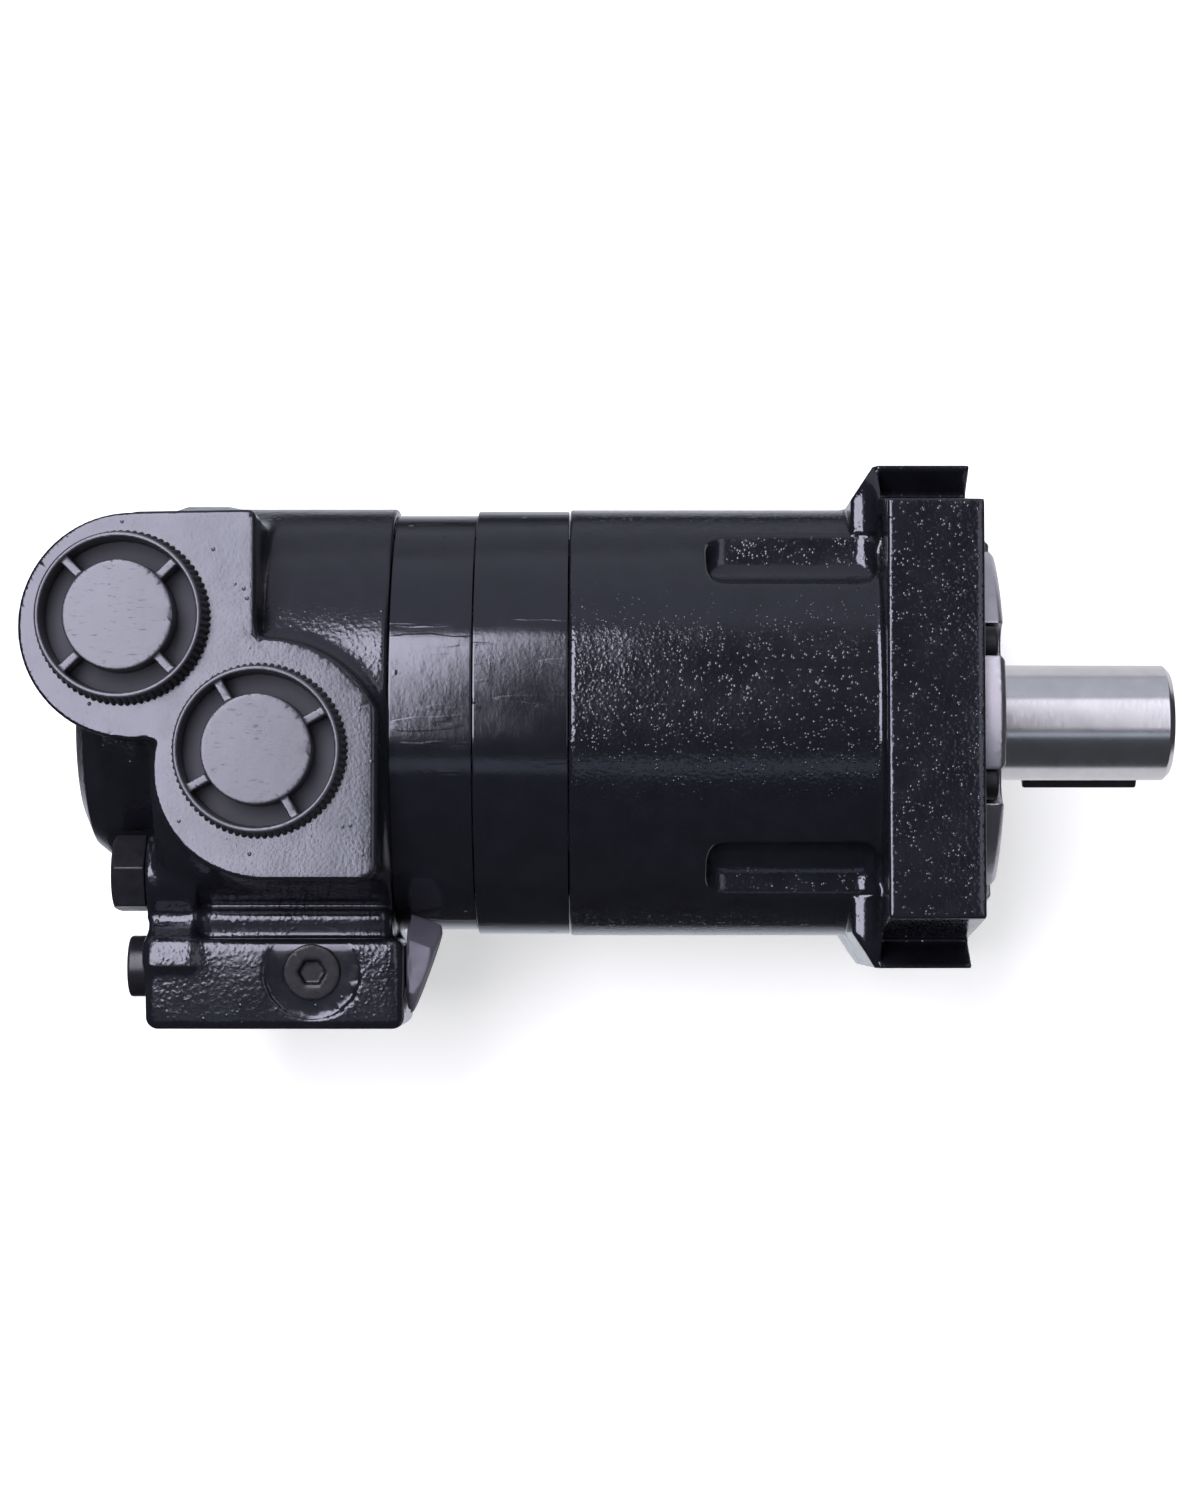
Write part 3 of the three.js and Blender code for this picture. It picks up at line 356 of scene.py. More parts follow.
def lathe(name, points, segments, closed=False):
    """A mesh turned about the motor's axis from (station, radius) points, in metres.
    An open profile starts and ends on the axis; a closed one is a ring."""
    bm = bmesh.new()
    rows = []
    for station, radius in points:
        x = (station - SHAFT_LENGTH) * MM
        if radius < 1e-6:
            rows.append([bm.verts.new((x, 0, 0))])
            continue
        circle = arc_points(0, 0, radius * MM, 0, 2 * math.pi, segments + 1)[:-1]
        rows.append([bm.verts.new((x, y, z)) for y, z in circle])
    pairs = list(zip(rows, rows[1:] + rows[:1])) if closed else list(zip(rows, rows[1:]))
    for low, high in pairs:
        for k in range(segments):
            after = (k + 1) % segments
            face = [low[k % len(low)], low[after % len(low)], high[after % len(high)], high[k % len(high)]]
            bm.faces.new([v for i, v in enumerate(face) if v not in face[:i]])
    bmesh.ops.recalc_face_normals(bm, faces=bm.faces)
    return mesh_of(bm, name)


def eased(points, radius, steps=3, support=0.25):
    """A turned profile with rounded corners, and a close row beside every corner to keep shading flat."""
    made = []
    for i, point in enumerate(points):
        if i in (0, len(points) - 1):
            made.append(point)
            continue
        before, here, after = (np.array(points[i + k], float) for k in (-1, 0, 1))
        a, b = before - here, after - here
        la, lb = np.linalg.norm(a), np.linalg.norm(b)
        reach = min(radius, 0.3 * la, 0.3 * lb)
        a, b = a / la, b / lb
        if la > 4 * (reach + support):
            made.append(tuple(here + a * (reach + support)))
        for k in range(steps + 1):
            t = k / steps
            made.append(tuple(here + a * reach * (1 - t) ** 2 + b * reach * t**2))
        if lb > 4 * (reach + support):
            made.append(tuple(here + b * (reach + support)))
    return made


def eased_ring(points, radius):
    """The same for a closed profile."""
    wrapped = [points[-1], *points, points[0]]
    return eased(wrapped, radius)[1:-1]


def prism_mesh(name, points, front, rear):
    """An outline in (y, z), run along the motor's axis between two stations, in metres."""
    bm = bmesh.new()
    ends = []
    for station in (front, rear):
        x = (station - SHAFT_LENGTH) * MM
        ends.append([bm.verts.new((x, y * MM, z * MM)) for y, z in points])
    for end in ends:
        bm.faces.new(end)
    count = len(points)
    for k in range(count):
        after = (k + 1) % count
        bm.faces.new([ends[0][k], ends[0][after], ends[1][after], ends[1][k]])
    bmesh.ops.recalc_face_normals(bm, faces=bm.faces)
    return mesh_of(bm, name)


def carved(mesh, tools):
    """The mesh with tool meshes cut out of it. The tools don't touch one another."""
    scene = bpy.context.scene.collection
    body = bpy.data.objects.new("carving", mesh)
    bm = bmesh.new()
    for tool in tools:
        bm.from_mesh(tool)
        bpy.data.meshes.remove(tool)
    knife = bpy.data.objects.new("knife", mesh_of(bm, "tools"))
    scene.objects.link(body)
    scene.objects.link(knife)
    modifier = body.modifiers.new("cut", "BOOLEAN")
    modifier.operation = "DIFFERENCE"
    modifier.solver = "MANIFOLD"
    modifier.object = knife
    evaluated = body.evaluated_get(bpy.context.evaluated_depsgraph_get())
    result = bpy.data.meshes.new_from_object(evaluated)
    for made in (body, knife):
        data = made.data
        bpy.data.objects.remove(made)
        bpy.data.meshes.remove(data)
    return result


def shaded(mesh, angle=32):
    mesh.shade_smooth()
    mesh.set_sharp_from_angle(angle=math.radians(angle))
    return mesh


# ---------------------------------------------------------------- materials


class Look:
    """A procedural material: a principled shader fed by noises in the object's own coordinates."""

    def __init__(self, name, color, roughness, **settings):
        self.material = bpy.data.materials.new(name)
        self.material.use_nodes = True
        self.nodes = self.material.node_tree.nodes
        self.links = self.material.node_tree.links
        self.shader = self.nodes["Principled BSDF"]
        self.place = self.nodes.new("ShaderNodeTexCoord").outputs["Object"]
        self.height = None
        self.shader.inputs["Base Color"].default_value = (*color, 1)
        self.shader.inputs["Roughness"].default_value = roughness
        for key, value in settings.items():
            self.shader.inputs[key.replace("_", " ")].default_value = value

    def node(self, kind, inputs=(), **settings):
        made = self.nodes.new(kind)
        for key, value in settings.items():
            setattr(made, key, value)
        for key, value in dict(inputs).items():
            if isinstance(value, bpy.types.NodeSocket):
                self.links.new(value, made.inputs[key])
            else:
                made.inputs[key].default_value = value
        return made

    def stretched(self, scale):
        return self.node("ShaderNodeMapping", {"Vector": self.place, "Scale": scale}).outputs[0]

    def noise(self, size, detail=2.0, rough=0.5, stretch=(1, 1, 1)):
        """Noise with features of about that size in millimetres."""
        vector = self.stretched(tuple(s / (size * MM) for s in stretch))
        settings = {"Vector": vector, "Scale": 1.0, "Detail": detail, "Roughness": rough}
        return self.node("ShaderNodeTexNoise", settings).outputs[0]

    def cells(self, size, feature="F1"):
        settings = {"Vector": self.stretched((1 / (size * MM),) * 3), "Scale": 1.0}
        return self.node("ShaderNodeTexVoronoi", settings, feature=feature).outputs[0]

    def remap(self, value, low, high, to_low=0.0, to_high=1.0):
        settings = {"Value": value, "From Min": low, "From Max": high, "To Min": to_low, "To Max": to_high}
        return self.node("ShaderNodeMapRange", settings).outputs[0]

    def math(self, operation, a, b):
        return self.node("ShaderNodeMath", {0: a, 1: b}, operation=operation).outputs[0]

    def split(self, vector):
        return self.node("ShaderNodeSeparateXYZ", {0: vector}).outputs

    def mix_color(self, share, first, second):
        made = self.node("ShaderNodeMix", {0: share}, data_type="RGBA")
        made.inputs[6].default_value = (*first, 1)
        made.inputs[7].default_value = (*second, 1)
        return made.outputs[2]

    def bump(self, height, depth):
        """Adds relief of that depth in millimetres over what is there."""
        settings = {"Height": height, "Distance": depth * MM, "Strength": 1.0}
        if self.height is not None:
            settings["Normal"] = self.height
        self.height = self.node("ShaderNodeBump", settings).outputs[0]
        self.links.new(self.height, self.shader.inputs["Normal"])

    def feed(self, name, value):
        self.links.new(value, self.shader.inputs[name])

    def gloss(self, noise, low, high):
        """Roughness that drifts between two values."""
        self.feed("Roughness", self.remap(noise, 0.3, 0.7, low, high))

    def tint(self, noise, dark, light):
        self.feed("Base Color", self.mix_color(noise, dark, light))


PAINT = {"Specular_Tint": (0.86, 0.86, 1.0, 1.0), "Specular_IOR_Level": 0.55}
PAINT_DARK, PAINT_LIGHT = (0.004, 0.0042, 0.006), (0.009, 0.0095, 0.0135)


def cast_paint():
    """Black enamel over a coarse sand casting, smooth on the port face and on the machined spotface."""
    look = Look("cast paint", PAINT_DARK, 0.2, **PAINT)
    place = look.split(look.place)
    normal = look.split(look.node("ShaderNodeNewGeometry").outputs["Normal"])
    at_port_face = look.remap(place[2], (PORT_FACE - 1) * MM, (PORT_FACE - 0.3) * MM)
    on_pad = look.math("MULTIPLY", look.remap(normal[2], 0.93, 0.99), at_port_face)
    across = look.math("SUBTRACT", place[0], (RELIEF_U - SHAFT_LENGTH) * MM)
    up = look.math("SUBTRACT", place[1], RELIEF_Y * MM)
    squares = look.math("ADD", look.math("MULTIPLY", across, across), look.math("MULTIPLY", up, up))
    near_plug = look.remap(look.math("SQRT", squares, 0.0), SPOT_RADIUS * MM, (SPOT_RADIUS - 0.4) * MM)
    near_side = look.remap(place[2], RELIEF_FLOOR * MM, (RELIEF_FLOOR + 1) * MM)
    on_spot = look.math("MULTIPLY", near_plug, near_side)
    machined = look.math("MAXIMUM", on_pad, on_spot)
    cast = look.math("SUBTRACT", 1.0, machined)
    patches = look.remap(look.noise(24, 1.0), 0.35, 0.6, 0.35, 1.0)
    coarse = look.math("MULTIPLY", orange_peel(look, 1.1), patches)
    fine = look.math("MULTIPLY", look.noise(0.8, 2.0), look.remap(on_spot, 0, 1, 1.0, 0.2))
    look.bump(look.math("MULTIPLY", coarse, cast), 0.07)
    look.bump(fine, 0.032)
    look.bump(pits(look, 5.5), 0.1)
    look.bump(look.noise(20, 1.0), 0.12)
    look.gloss(look.noise(7, 2.0), 0.15, 0.21)
    look.tint(look.noise(5, 3.0), PAINT_DARK, PAINT_LIGHT)
    return look.material


def orange_peel(look, size):
    """Rounded grains of sand under the paint, from 0 to about 1."""
    grains = look.remap(look.cells(size, "SMOOTH_F1"), 0.15, 0.75, 1.0, 0.0)
    return look.math("MULTIPLY", grains, look.remap(look.noise(size * 1.6, 2.0), 0.35, 0.65, 0.3, 1.0))


def pimples(look, size):
    """Sparse pointed grains that each catch the light, from 0 to 1."""
    peaks = look.remap(look.cells(size), 0.08, 0.34, 1.0, 0.0)
    return look.math("MULTIPLY", peaks, look.remap(look.noise(size * 2.2, 2.0), 0.48, 0.6))


def pits(look, size):
    """A few small pits and specks."""
    return look.remap(look.cells(size), 0.03, 0.1, 1.0, 0.0)


def smooth_paint():
    """The same enamel over turned rings, with a few runs and specks of dust."""
    look = Look("smooth paint", PAINT_DARK, 0.24, **PAINT)
    look.bump(look.noise(3.0, 3.0, 0.6, (1, 0.6, 0.6)), 0.028)
    look.bump(look.remap(look.noise(6, 2.0, 0.5, (0.25, 1.6, 1.6)), 0.6, 0.66), 0.022)
    look.bump(look.noise(0.9, 2.0), 0.008)
    look.bump(pits(look, 9), 0.12)
    look.gloss(look.noise(11, 2.0), 0.1, 0.15)
    look.tint(look.noise(8, 3.0), PAINT_DARK, PAINT_LIGHT)
    return look.material


def housing_paint():
    """Enamel over the finer casting of the bearing housing."""
    look = Look("housing paint", PAINT_DARK, 0.2, **PAINT)
    patches = look.remap(look.noise(30, 2.0), 0.3, 0.6, 0.4, 1.0)
    look.bump(look.math("MULTIPLY", pimples(look, 1.0), patches), 0.09)
    look.bump(look.math("MULTIPLY", orange_peel(look, 0.95), patches), 0.035)
    look.bump(look.noise(0.7, 2.0), 0.01)
    look.bump(look.noise(18, 1.0), 0.1)
    look.gloss(look.noise(9, 2.0), 0.1, 0.16)
    look.tint(look.noise(6, 3.0), PAINT_DARK, PAINT_LIGHT)
    return look.material


def turned_steel(name, color, roughness, stretch=(14, 1, 1), depth=0.006):
    """Bare steel with fine marks around the motor's axis."""
    look = Look(name, color, roughness, Metallic=1.0)
    marks = look.noise(1.4, 3.0, 0.6, stretch)
    look.bump(marks, depth)
    bright = tuple(min(1.0, c * 1.12) for c in color)
    dull = tuple(c * 0.86 for c in color)
    look.tint(look.noise(6, 4.0), dull, bright)
    look.gloss(look.noise(3, 3.0, 0.6, stretch), roughness * 0.85, roughness * 1.25)
    return look.material


def black_oxide():
    look = Look("black oxide", (0.02, 0.02, 0.024), 0.3, Metallic=0.3, Specular_IOR_Level=0.35)
    look.bump(look.noise(1.2, 3.0, 0.6, (1, 3, 3)), 0.02)
    look.gloss(look.noise(4, 3.0), 0.26, 0.4)
    look.tint(look.noise(3, 4.0), (0.008, 0.008, 0.011), (0.02, 0.02, 0.025))
    return look.material


def phosphate():
    look = Look("grey phosphate", (0.1, 0.095, 0.125), 0.6, Metallic=0.2)
    look.bump(look.noise(1.1, 3.0), 0.02)
    look.gloss(look.noise(4, 3.0), 0.5, 0.68)
    look.tint(look.noise(5, 4.0), (0.085, 0.08, 0.108), (0.115, 0.11, 0.145))
    return look.material


def rubber():
    look = Look("nitrile rubber", (0.012, 0.012, 0.012), 0.6)
    look.bump(look.noise(0.8, 2.0), 0.02)
    look.gloss(look.noise(5, 2.0), 0.5, 0.7)
    look.tint(look.noise(4, 2.0), (0.01, 0.01, 0.01), (0.022, 0.022, 0.022))
    return look.material


def cap_plastic():
    """Glossy moulded plastic with faint scuffs, and a dull floor in the cap's recess."""
    sheen = {"Specular_Tint": (0.88, 0.87, 1.0, 1.0), "Specular_IOR_Level": 0.75}
    look = Look("moulded plastic", (0.02, 0.02, 0.026), 0.3, **sheen)
    look.bump(look.noise(9, 1.0), 0.06)
    look.bump(look.noise(0.7, 2.0), 0.012)
    scuffs = look.remap(look.noise(2.5, 3.0, 0.6, (1, 4, 1)), 0.62, 0.7, 0.0, 1.0)
    floor = PORT_FACE + GAP + CAP_HEIGHT - CAP_RECESS
    in_recess = look.remap(look.split(look.place)[2], (floor + 1) * MM, (floor + 2.5) * MM, 1.0, 0.0)
    rough_recess = look.remap(in_recess, 0, 1, 0.3, 0.75)
    look.feed("Roughness", look.math("MAXIMUM", look.remap(scuffs, 0, 1, 0.33, 0.5), rough_recess))
    look.tint(look.noise(12, 3.0), (0.018, 0.018, 0.023), (0.035, 0.035, 0.043))
    return look.material


def bronze():
    look = Look("lapped bronze", (0.5, 0.33, 0.15), 0.3, Metallic=1.0)
    look.bump(look.noise(1.0, 3.0), 0.01)
    look.tint(look.noise(6, 3.0), (0.42, 0.27, 0.12), (0.58, 0.4, 0.19))
    look.gloss(look.noise(4, 2.0), 0.25, 0.4)
    return look.material


def bench():
    look = Look("bench", (0.8, 0.8, 0.8), 0.8, Emission_Color=(1.0, 1.0, 1.0, 1.0), Emission_Strength=0.47)
    look.bump(look.noise(40, 3.0), 0.15)
    look.tint(look.noise(300, 3.0), (0.78, 0.78, 0.78), (0.82, 0.82, 0.82))
    return look.material


LOOKS = {
    "cast": cast_paint(),
    "smooth": smooth_paint(),
    "housing": housing_paint(),
    "steel": turned_steel("ground shaft", (0.62, 0.61, 0.64), 0.2, (9, 1, 1), 0.0016),
    "retainer": turned_steel("machined retainer", (0.5, 0.48, 0.54), 0.34, (3, 1, 1), 0.02),
    "hard_steel": turned_steel("ground steel", (0.42, 0.43, 0.45), 0.28),
    "spring_steel": turned_steel("spring steel", (0.24, 0.25, 0.27), 0.35, (1, 1, 1)),
    "black_oxide": black_oxide(),
    "phosphate": phosphate(),
    "rubber": rubber(),
    "plastic": cap_plastic(),
    "bronze": bronze(),
}

# ---------------------------------------------------------------- putting pieces in the scene


def show(mesh, name, look, node, body="motor_body"):
    """A piece that stands for one CAD node and rides on that node's body."""
    mesh.materials.clear()
    mesh.materials.append(LOOKS[look])
    piece = bpy.data.objects.new(name, mesh)
    bpy.context.scene.collection.objects.link(piece)
    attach(piece, body)
    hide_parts(node)
    return piece


def show_volume(volume, name, adaptivity, look, node, body="motor_body"):
    show(volume.mesh(name, adaptivity), name, look, node, body)


# ---------------------------------------------------------------- valve housing


def port_pad_outline():
    """The machined port pad in (station, y): a lobe around each port and a step between them."""

    def towards(circle, point):
        return math.atan2(point[1] - circle[1], point[0] - circle[0])

    turn_a = towards(PAD_A, PAD_WAIST) + 2 * math.pi
    turn_b = towards(PAD_B, PAD_WAIST)
    if turn_b < 0:
        turn_b += 2 * math.pi
    shoulder = math.acos((PAD_RIGHT - PAD_SHOULDER[0]) / PAD_SHOULDER[2])
    points = [(PAD_STEP - 2, PAD_TOP)]
    points += arc_points(*PAD_A, math.pi / 2, turn_a, 40)
    points += arc_points(*PAD_B, turn_b, 1.5 * math.pi, 24)
    points += arc_points(PAD_RIGHT - 4, PAD_BOTTOM + 4, 4, -math.pi / 2, 0, 8)
    points += arc_points(*PAD_SHOULDER, shoulder, math.pi / 2 - 0.02, 24)
    foot = PAD_SHOULDER[1] + PAD_SHOULDER[2]
    points += [(PAD_STEP + 0.6, foot + 0.8), (PAD_STEP, foot + 4.5)]
    points += arc_points(PAD_STEP - 2, PAD_TOP - 2, 2, 0, math.pi / 2, 6)
    return points


def drum_profile():
    """The drum's (station, radius) outline, sharp only where it meets the axis."""
    corners = [
        (COVER_FRONT, 0),
        (COVER_FRONT, COVER_RADIUS),
        (COVER_REAR + 3, COVER_RADIUS),
        (COVER_REAR, COVER_RADIUS - 3),
        (COVER_REAR, 0),
    ]
    steps = 6
    off_axis = rounded(corners, 0.9, steps)[steps + 1 : -steps - 1]
    return [corners[0], *off_axis, corners[-1]]


def add_drum(volume):
    volume.add(turned(drum_profile()))
    dome = [
        (-208, 0),
        (-208, DOME_RADIUS),
        (-224, DOME_RADIUS),
        (-231, DOME_RADIUS - 1),
        (-236, DOME_RADIUS - 5),
        (-239, DOME_RADIUS - 12),
        (DOME_REAR, DOME_RADIUS - 20),
        (DOME_REAR, 0),
    ]
    volume.add(turned(dome), 5)
    volume.add(rod_x(-200, DRAIN_REAR, DRAIN_Y, 0, DRAIN_BOSS, 1.6), 5)
    for y, z in TIE_POINTS:
        volume.add(rod_x(COVER_REAR + 10, BOLT_SEAT, y, z, TIE_BOSS, 0.8), 2.5)


def add_port_pad(volume):
    outline = port_pad_outline()
    skirt = PORT_FACE - PAD_SKIRT
    root = along_z(outline, 0, PORT_FACE - 1)
    limits = block_shape((BOLT_SEAT + 1, -60, 12), (COVER_FRONT, 60, PORT_FACE - 1))
    volume.add(lambda u, y, z: np.maximum(root(u, y, z), limits(u, y, z)), 5)
    u0, y0, lobe = PAD_A
    column = [(0, 0), (15, 0), (lobe - 1.2, skirt + 2), (lobe - 1.2, skirt + 6), (0, skirt + 6)]
    volume.add(turned_up(column, u0, y0), 5)
    volume.add(along_z(outline, skirt, PORT_FACE, 0.6), 1.2)


def block_lean(angle=BLOCK_LEAN):
    """The shuttle block's near face leans towards -Y about its upper edge."""
    hinge = Vector((0, BLOCK["top"], BLOCK["near"]))
    return Matrix.Translation(hinge) @ Matrix.Rotation(angle, 4, "X") @ Matrix.Translation(-hinge)


def add_shuttle_block(volume):
    """The block across the bottom, its root under the port pad, a shelf beside it and a rib at the rear."""
    low = (BOLT_SEAT, BLOCK["bottom"], BLOCK["far"])
    high = (BLOCK["front"], BLOCK["top"], BLOCK["near"])
    body = block_shape(low, high, 3.2)

    def leaning(u, y, z):
        face = (z - BLOCK["near"]) * math.cos(BLOCK_LEAN) - (y - BLOCK["top"]) * math.sin(BLOCK_LEAN)
        return corner(body(u, y, z), face, 2.5)

    volume.add(leaning, 2.5)
    root = BLOCK["top"] - 6
    volume.add(block_shape((BOLT_SEAT + 2, root, BLOCK["far"]), (COVER_FRONT, -45, 14), 2), 4)
    shelf = block_shape((-207, root, 0), (COVER_FRONT, -53, 32), 3)
    volume.add(placed(shelf, block_lean(SHELF_LEAN)), 1.5)
    rib = [(-66, 8), (-66, 39), (-62, 38.6), (-50, 31), (-42, 14), (-42, 8)]
    volume.add(along_x(rib, -205.6, BOLT_SEAT + 0.6, 1.2), 4)


def cut_cover(volume):
    """The disc valve's chamber, then the bolts', ports', shuttle's, relief valve's and drain's holes."""
    cavity = [(-150, 0), (-150, 34), (-168.2, 34), (-168.2, 27), (-186, 27), (-186, 0)]
    volume.cut(turned(cavity))
    for y, z in TIE_POINTS:
        near_bolt = ((-232, y - 14, z - 14), (BOLT_SEAT + 2, y + 14, z + 14))
        volume.cut(rod_x(BOLT_SEAT, -250, y, z, 12.3, 0), 0.5, near_bolt)
        volume.cut(rod_x(-140, -225, y, z, TIE_RADIUS + GAP))
    for u, y in (PORT_A, PORT_B):
        volume.cut(rod_z(u, y, PORT_BORE, PORT_FACE - PORT_DEPTH, PORT_FACE + 5))
    volume.cut(rod_between((PORT_A[0], PORT_A[1], 50), (-182, 8, 8), 4.6))
    volume.cut(rod_between((-182, PORT_B[1], 50), (-163, PORT_B[1], 27), 4.2))
    volume.cut(rod_x(-140, -230, SHUTTLE_Y, SHUTTLE_Z, SHUTTLE_BORE))
    spotface = rod_z(RELIEF_U, RELIEF_Y, SPOT_RADIUS, BLOCK["near"] - SPOT_DEPTH, 48)
    mouth = rod_z(RELIEF_U, RELIEF_Y, RELIEF_BORE, BLOCK["near"] - 6, 45)
    volume.cut(placed(spotface, block_lean()), 0.3)
    volume.cut(placed(mouth, block_lean()))
    volume.cut(rod_z(RELIEF_U, RELIEF_Y, RELIEF_BORE, RELIEF_FLOOR, 45))
    volume.cut(rod_z(RELIEF_U, RELIEF_Y, 2.4, SHUTTLE_Z, 35))
    volume.cut(rod_x(-196, -240, DRAIN_Y, 0, DRAIN_BORE))


def valve_housing():
    volume = Volume((-249, -84, -60), (-149, 60, 67), CASTING_STEP)
    add_drum(volume)
    add_shuttle_block(volume)
    add_port_pad(volume)
    cut_cover(volume)
    show_volume(volume, "valve_housing_casting", 0.004, "cast", "valve_housing")


# ---------------------------------------------------------------- bearing housing


def gusset(side):
    """The rib behind one flange lug, with ends that slope towards the barrel."""
    inner = 48
    outline = [
        (-24, side * inner),
        (-24, side * FLANGE_HALF),
        (-25.5, side * FLANGE_HALF),
        (GUSSET_REAR, side * (HOUSING_RADIUS - 1)),
        (GUSSET_REAR, side * inner),
    ]

    def distance(u, y, z):
        slope = (np.abs(z) - GUSSET_HALF + 0.9 * (side * y - FLANGE_HALF)) / 1.35
        return np.maximum(outline_distance(outline, u, y), slope)

    return distance


def bolt_pocket(side_y, side_z):
    """Room for one mounting bolt and its wrench, open outwards."""
    inner, outside, front = BOLT_OFFSET - POCKET_RADIUS, 99, -FLANGE_THICKNESS
    arc = arc_points(BOLT_OFFSET, BOLT_OFFSET, POCKET_RADIUS, math.pi, 1.5 * math.pi, 12)
    section = [(outside, inner), (outside, outside), (inner, outside), *arc]
    plan = [(POCKET_REAR, inner), (front, inner), (front, outside), (POCKET_REAR, outside)]
    plan = rounded(plan, POCKET_CORNER)

    def distance(u, y, z):
        a, b = side_y * y, side_z * z
        across = outline_distance(section, a, b)
        return corner(corner(across, outline_distance(plan, u, a), 1.5), outline_distance(plan, u, b), 1.5)

    return distance


def housing_bore():
    return [
        (2, 0),
        (2, PILOT_RADIUS + GAP),
        (-RECESS, PILOT_RADIUS + GAP),
        (-RECESS, SPIGOT_BORE),
        (FRONT_CUP_FACE, SPIGOT_BORE),
        (FRONT_CUP_FACE, FRONT_CUP_BORE),
        (REAR_CUP_FACE, 32.6),
        (REAR_CUP_FACE, CUP_BORE),
        (CUP_END, CUP_BORE),
        (CUP_END, 39.1),
        (-110, 39.1),
        (-110, 0),
    ]


def face_groove(face):
    """The profile of an O-ring groove in a rear face."""
    floor, inner, outer = face + FACE_SEAL_DEPTH, FACE_SEAL_INNER, FACE_SEAL_OUTER
    return [(floor, inner), (floor, outer), (face - 1, outer), (face - 1, inner)]


def screw_points():
    angles = [2 * math.pi * (i + 0.5) / SCREW_COUNT for i in range(SCREW_COUNT)]
    return [(SCREW_CIRCLE * math.cos(t), SCREW_CIRCLE * math.sin(t)) for t in angles]


def bearing_housing():
    volume = Volume((-107, -67.5, -67.5), (0.5, 67.5, 67.5), CASTING_STEP)
    rear = HOUSING_REAR + GAP / 2
    side, edge = HOUSING_RADIUS, 0.4
    barrel = [(-5, 0), (-5, side), (rear + edge, side), (rear, side - edge), (rear, 0)]
    volume.add(turned(barrel))
    flange = rounded(mirrored(FLANGE_QUARTER), 0.6, 3)
    volume.add(along_x(flange, 0, -FLANGE_THICKNESS, 0.5), 1.2)
    for side in (1, -1):
        volume.add(gusset(side), 0.8)
        beyond = side * (FLANGE_HALF + 30)
        volume.cut(block_shape((-60, beyond - 30, -70), (5, beyond + 30, 70)))
    for side_y in (1, -1):
        for side_z in (1, -1):
            (low_y, high_y), (low_z, high_z) = (sorted((20 * side, 70 * side)) for side in (side_y, side_z))
            corner_of_flange = ((-76, low_y, low_z), (-20, high_y, high_z))
            volume.cut(bolt_pocket(side_y, side_z), 1.6, corner_of_flange)
            volume.cut(rod_x(2, -30, side_y * BOLT_OFFSET, side_z * BOLT_OFFSET, BOLT_HOLE), 0.5)
    volume.cut(turned(housing_bore()))
    for y, z in TIE_POINTS:
        volume.cut(rod_x(-88, -110, y, z, TIE_RADIUS + GAP))
    for y, z in screw_points():
        near_screw = ((-17, y - 5, z - 5), (-3, y + 5, z + 5))
        volume.cut(rod_x(0, -15, y, z, SCREW_HOLE), 0, near_screw)
    volume.cut(turned(face_groove(rear), ring=True))
    name = "bearing_housing_casting"
    show_volume(volume, name, 0.004, "housing", "bearing_housing")


# ---------------------------------------------------------------- rings


def ring_tools(front, rear, holes):
    """Cutters for round holes that run right through a ring."""
    tools = []
    for y, z, radius in holes:
        tools.append(prism_mesh("hole", regular(40, radius, centre=(y, z)), front + 2, rear - 2))
    return tools


def round_holes(count, circle, radius, first=0.0):
    """Holes as (y, z, radius), evenly spaced on a circle."""
    angles = (2 * math.pi * (i + first) / count for i in range(count))
    return [(circle * math.cos(t), circle * math.sin(t), radius) for t in angles]


def ring_piece(name, node, front, rear, bore, radius, holes):
    profile = eased_ring([(front, bore), (front, radius), (rear, radius), (rear, bore)], 0.3)
    mesh = lathe(name, profile, 240, closed=True)
    groove = lathe("groove", face_groove(rear), 96, closed=True)
    mesh = carved(mesh, [*ring_tools(front, rear, holes), groove])
    show(shaded(mesh), name, "smooth", node)


def rings():
    ties = [(y, z, TIE_RADIUS + GAP) for y, z in TIE_POINTS]
    half = GAP / 2
    pockets = round_holes(ROLLER_COUNT, ROLLER_CIRCLE, ROLLER_RADIUS + GAP)
    ends = (HOUSING_REAR - half, RING_REAR + half)
    ring_piece("geroler_ring_body", "geroler_ring", *ends, RING_BORE, RING_RADIUS, ties + pockets)
    passages = round_holes(ROLLER_COUNT, PASSAGE_CIRCLE, PASSAGE_RADIUS, 0.5)
    ends = (RING_REAR - half, PLATE_REAR + half)
    ring_piece("valve_plate_body", "valve_plate", *ends, PLATE_BORE, PLATE_RADIUS, ties + passages)


# ---------------------------------------------------------------- shaft, key, retainer and seals


def spline_outline(root, tip, clearance):
    pitch = 2 * math.pi / SPLINE_TEETH
    half = 0.2 * pitch + clearance / ((root + tip) / 2)
    points = []
    for i in range(SPLINE_TEETH):
        for radius, shift in ((root, -1.15), (tip, -0.85), (tip, 0.85), (root, 1.15)):
            angle = i * pitch + half * shift
            points.append(((radius + clearance) * math.cos(angle), (radius + clearance) * math.sin(angle)))
    return points


def key_outline(clearance):
    half = KEY_WIDTH / 2 + clearance
    low, high = SHAFT_RADIUS - half, SHAFT_RADIUS + half
    square = [(low, -half), (high, -half), (high, half), (low, half)]
    c, s = math.cos(KEY_ANGLE), math.sin(KEY_ANGLE)
    return [(c * a - s * b, s * a + c * b) for a, b in square]


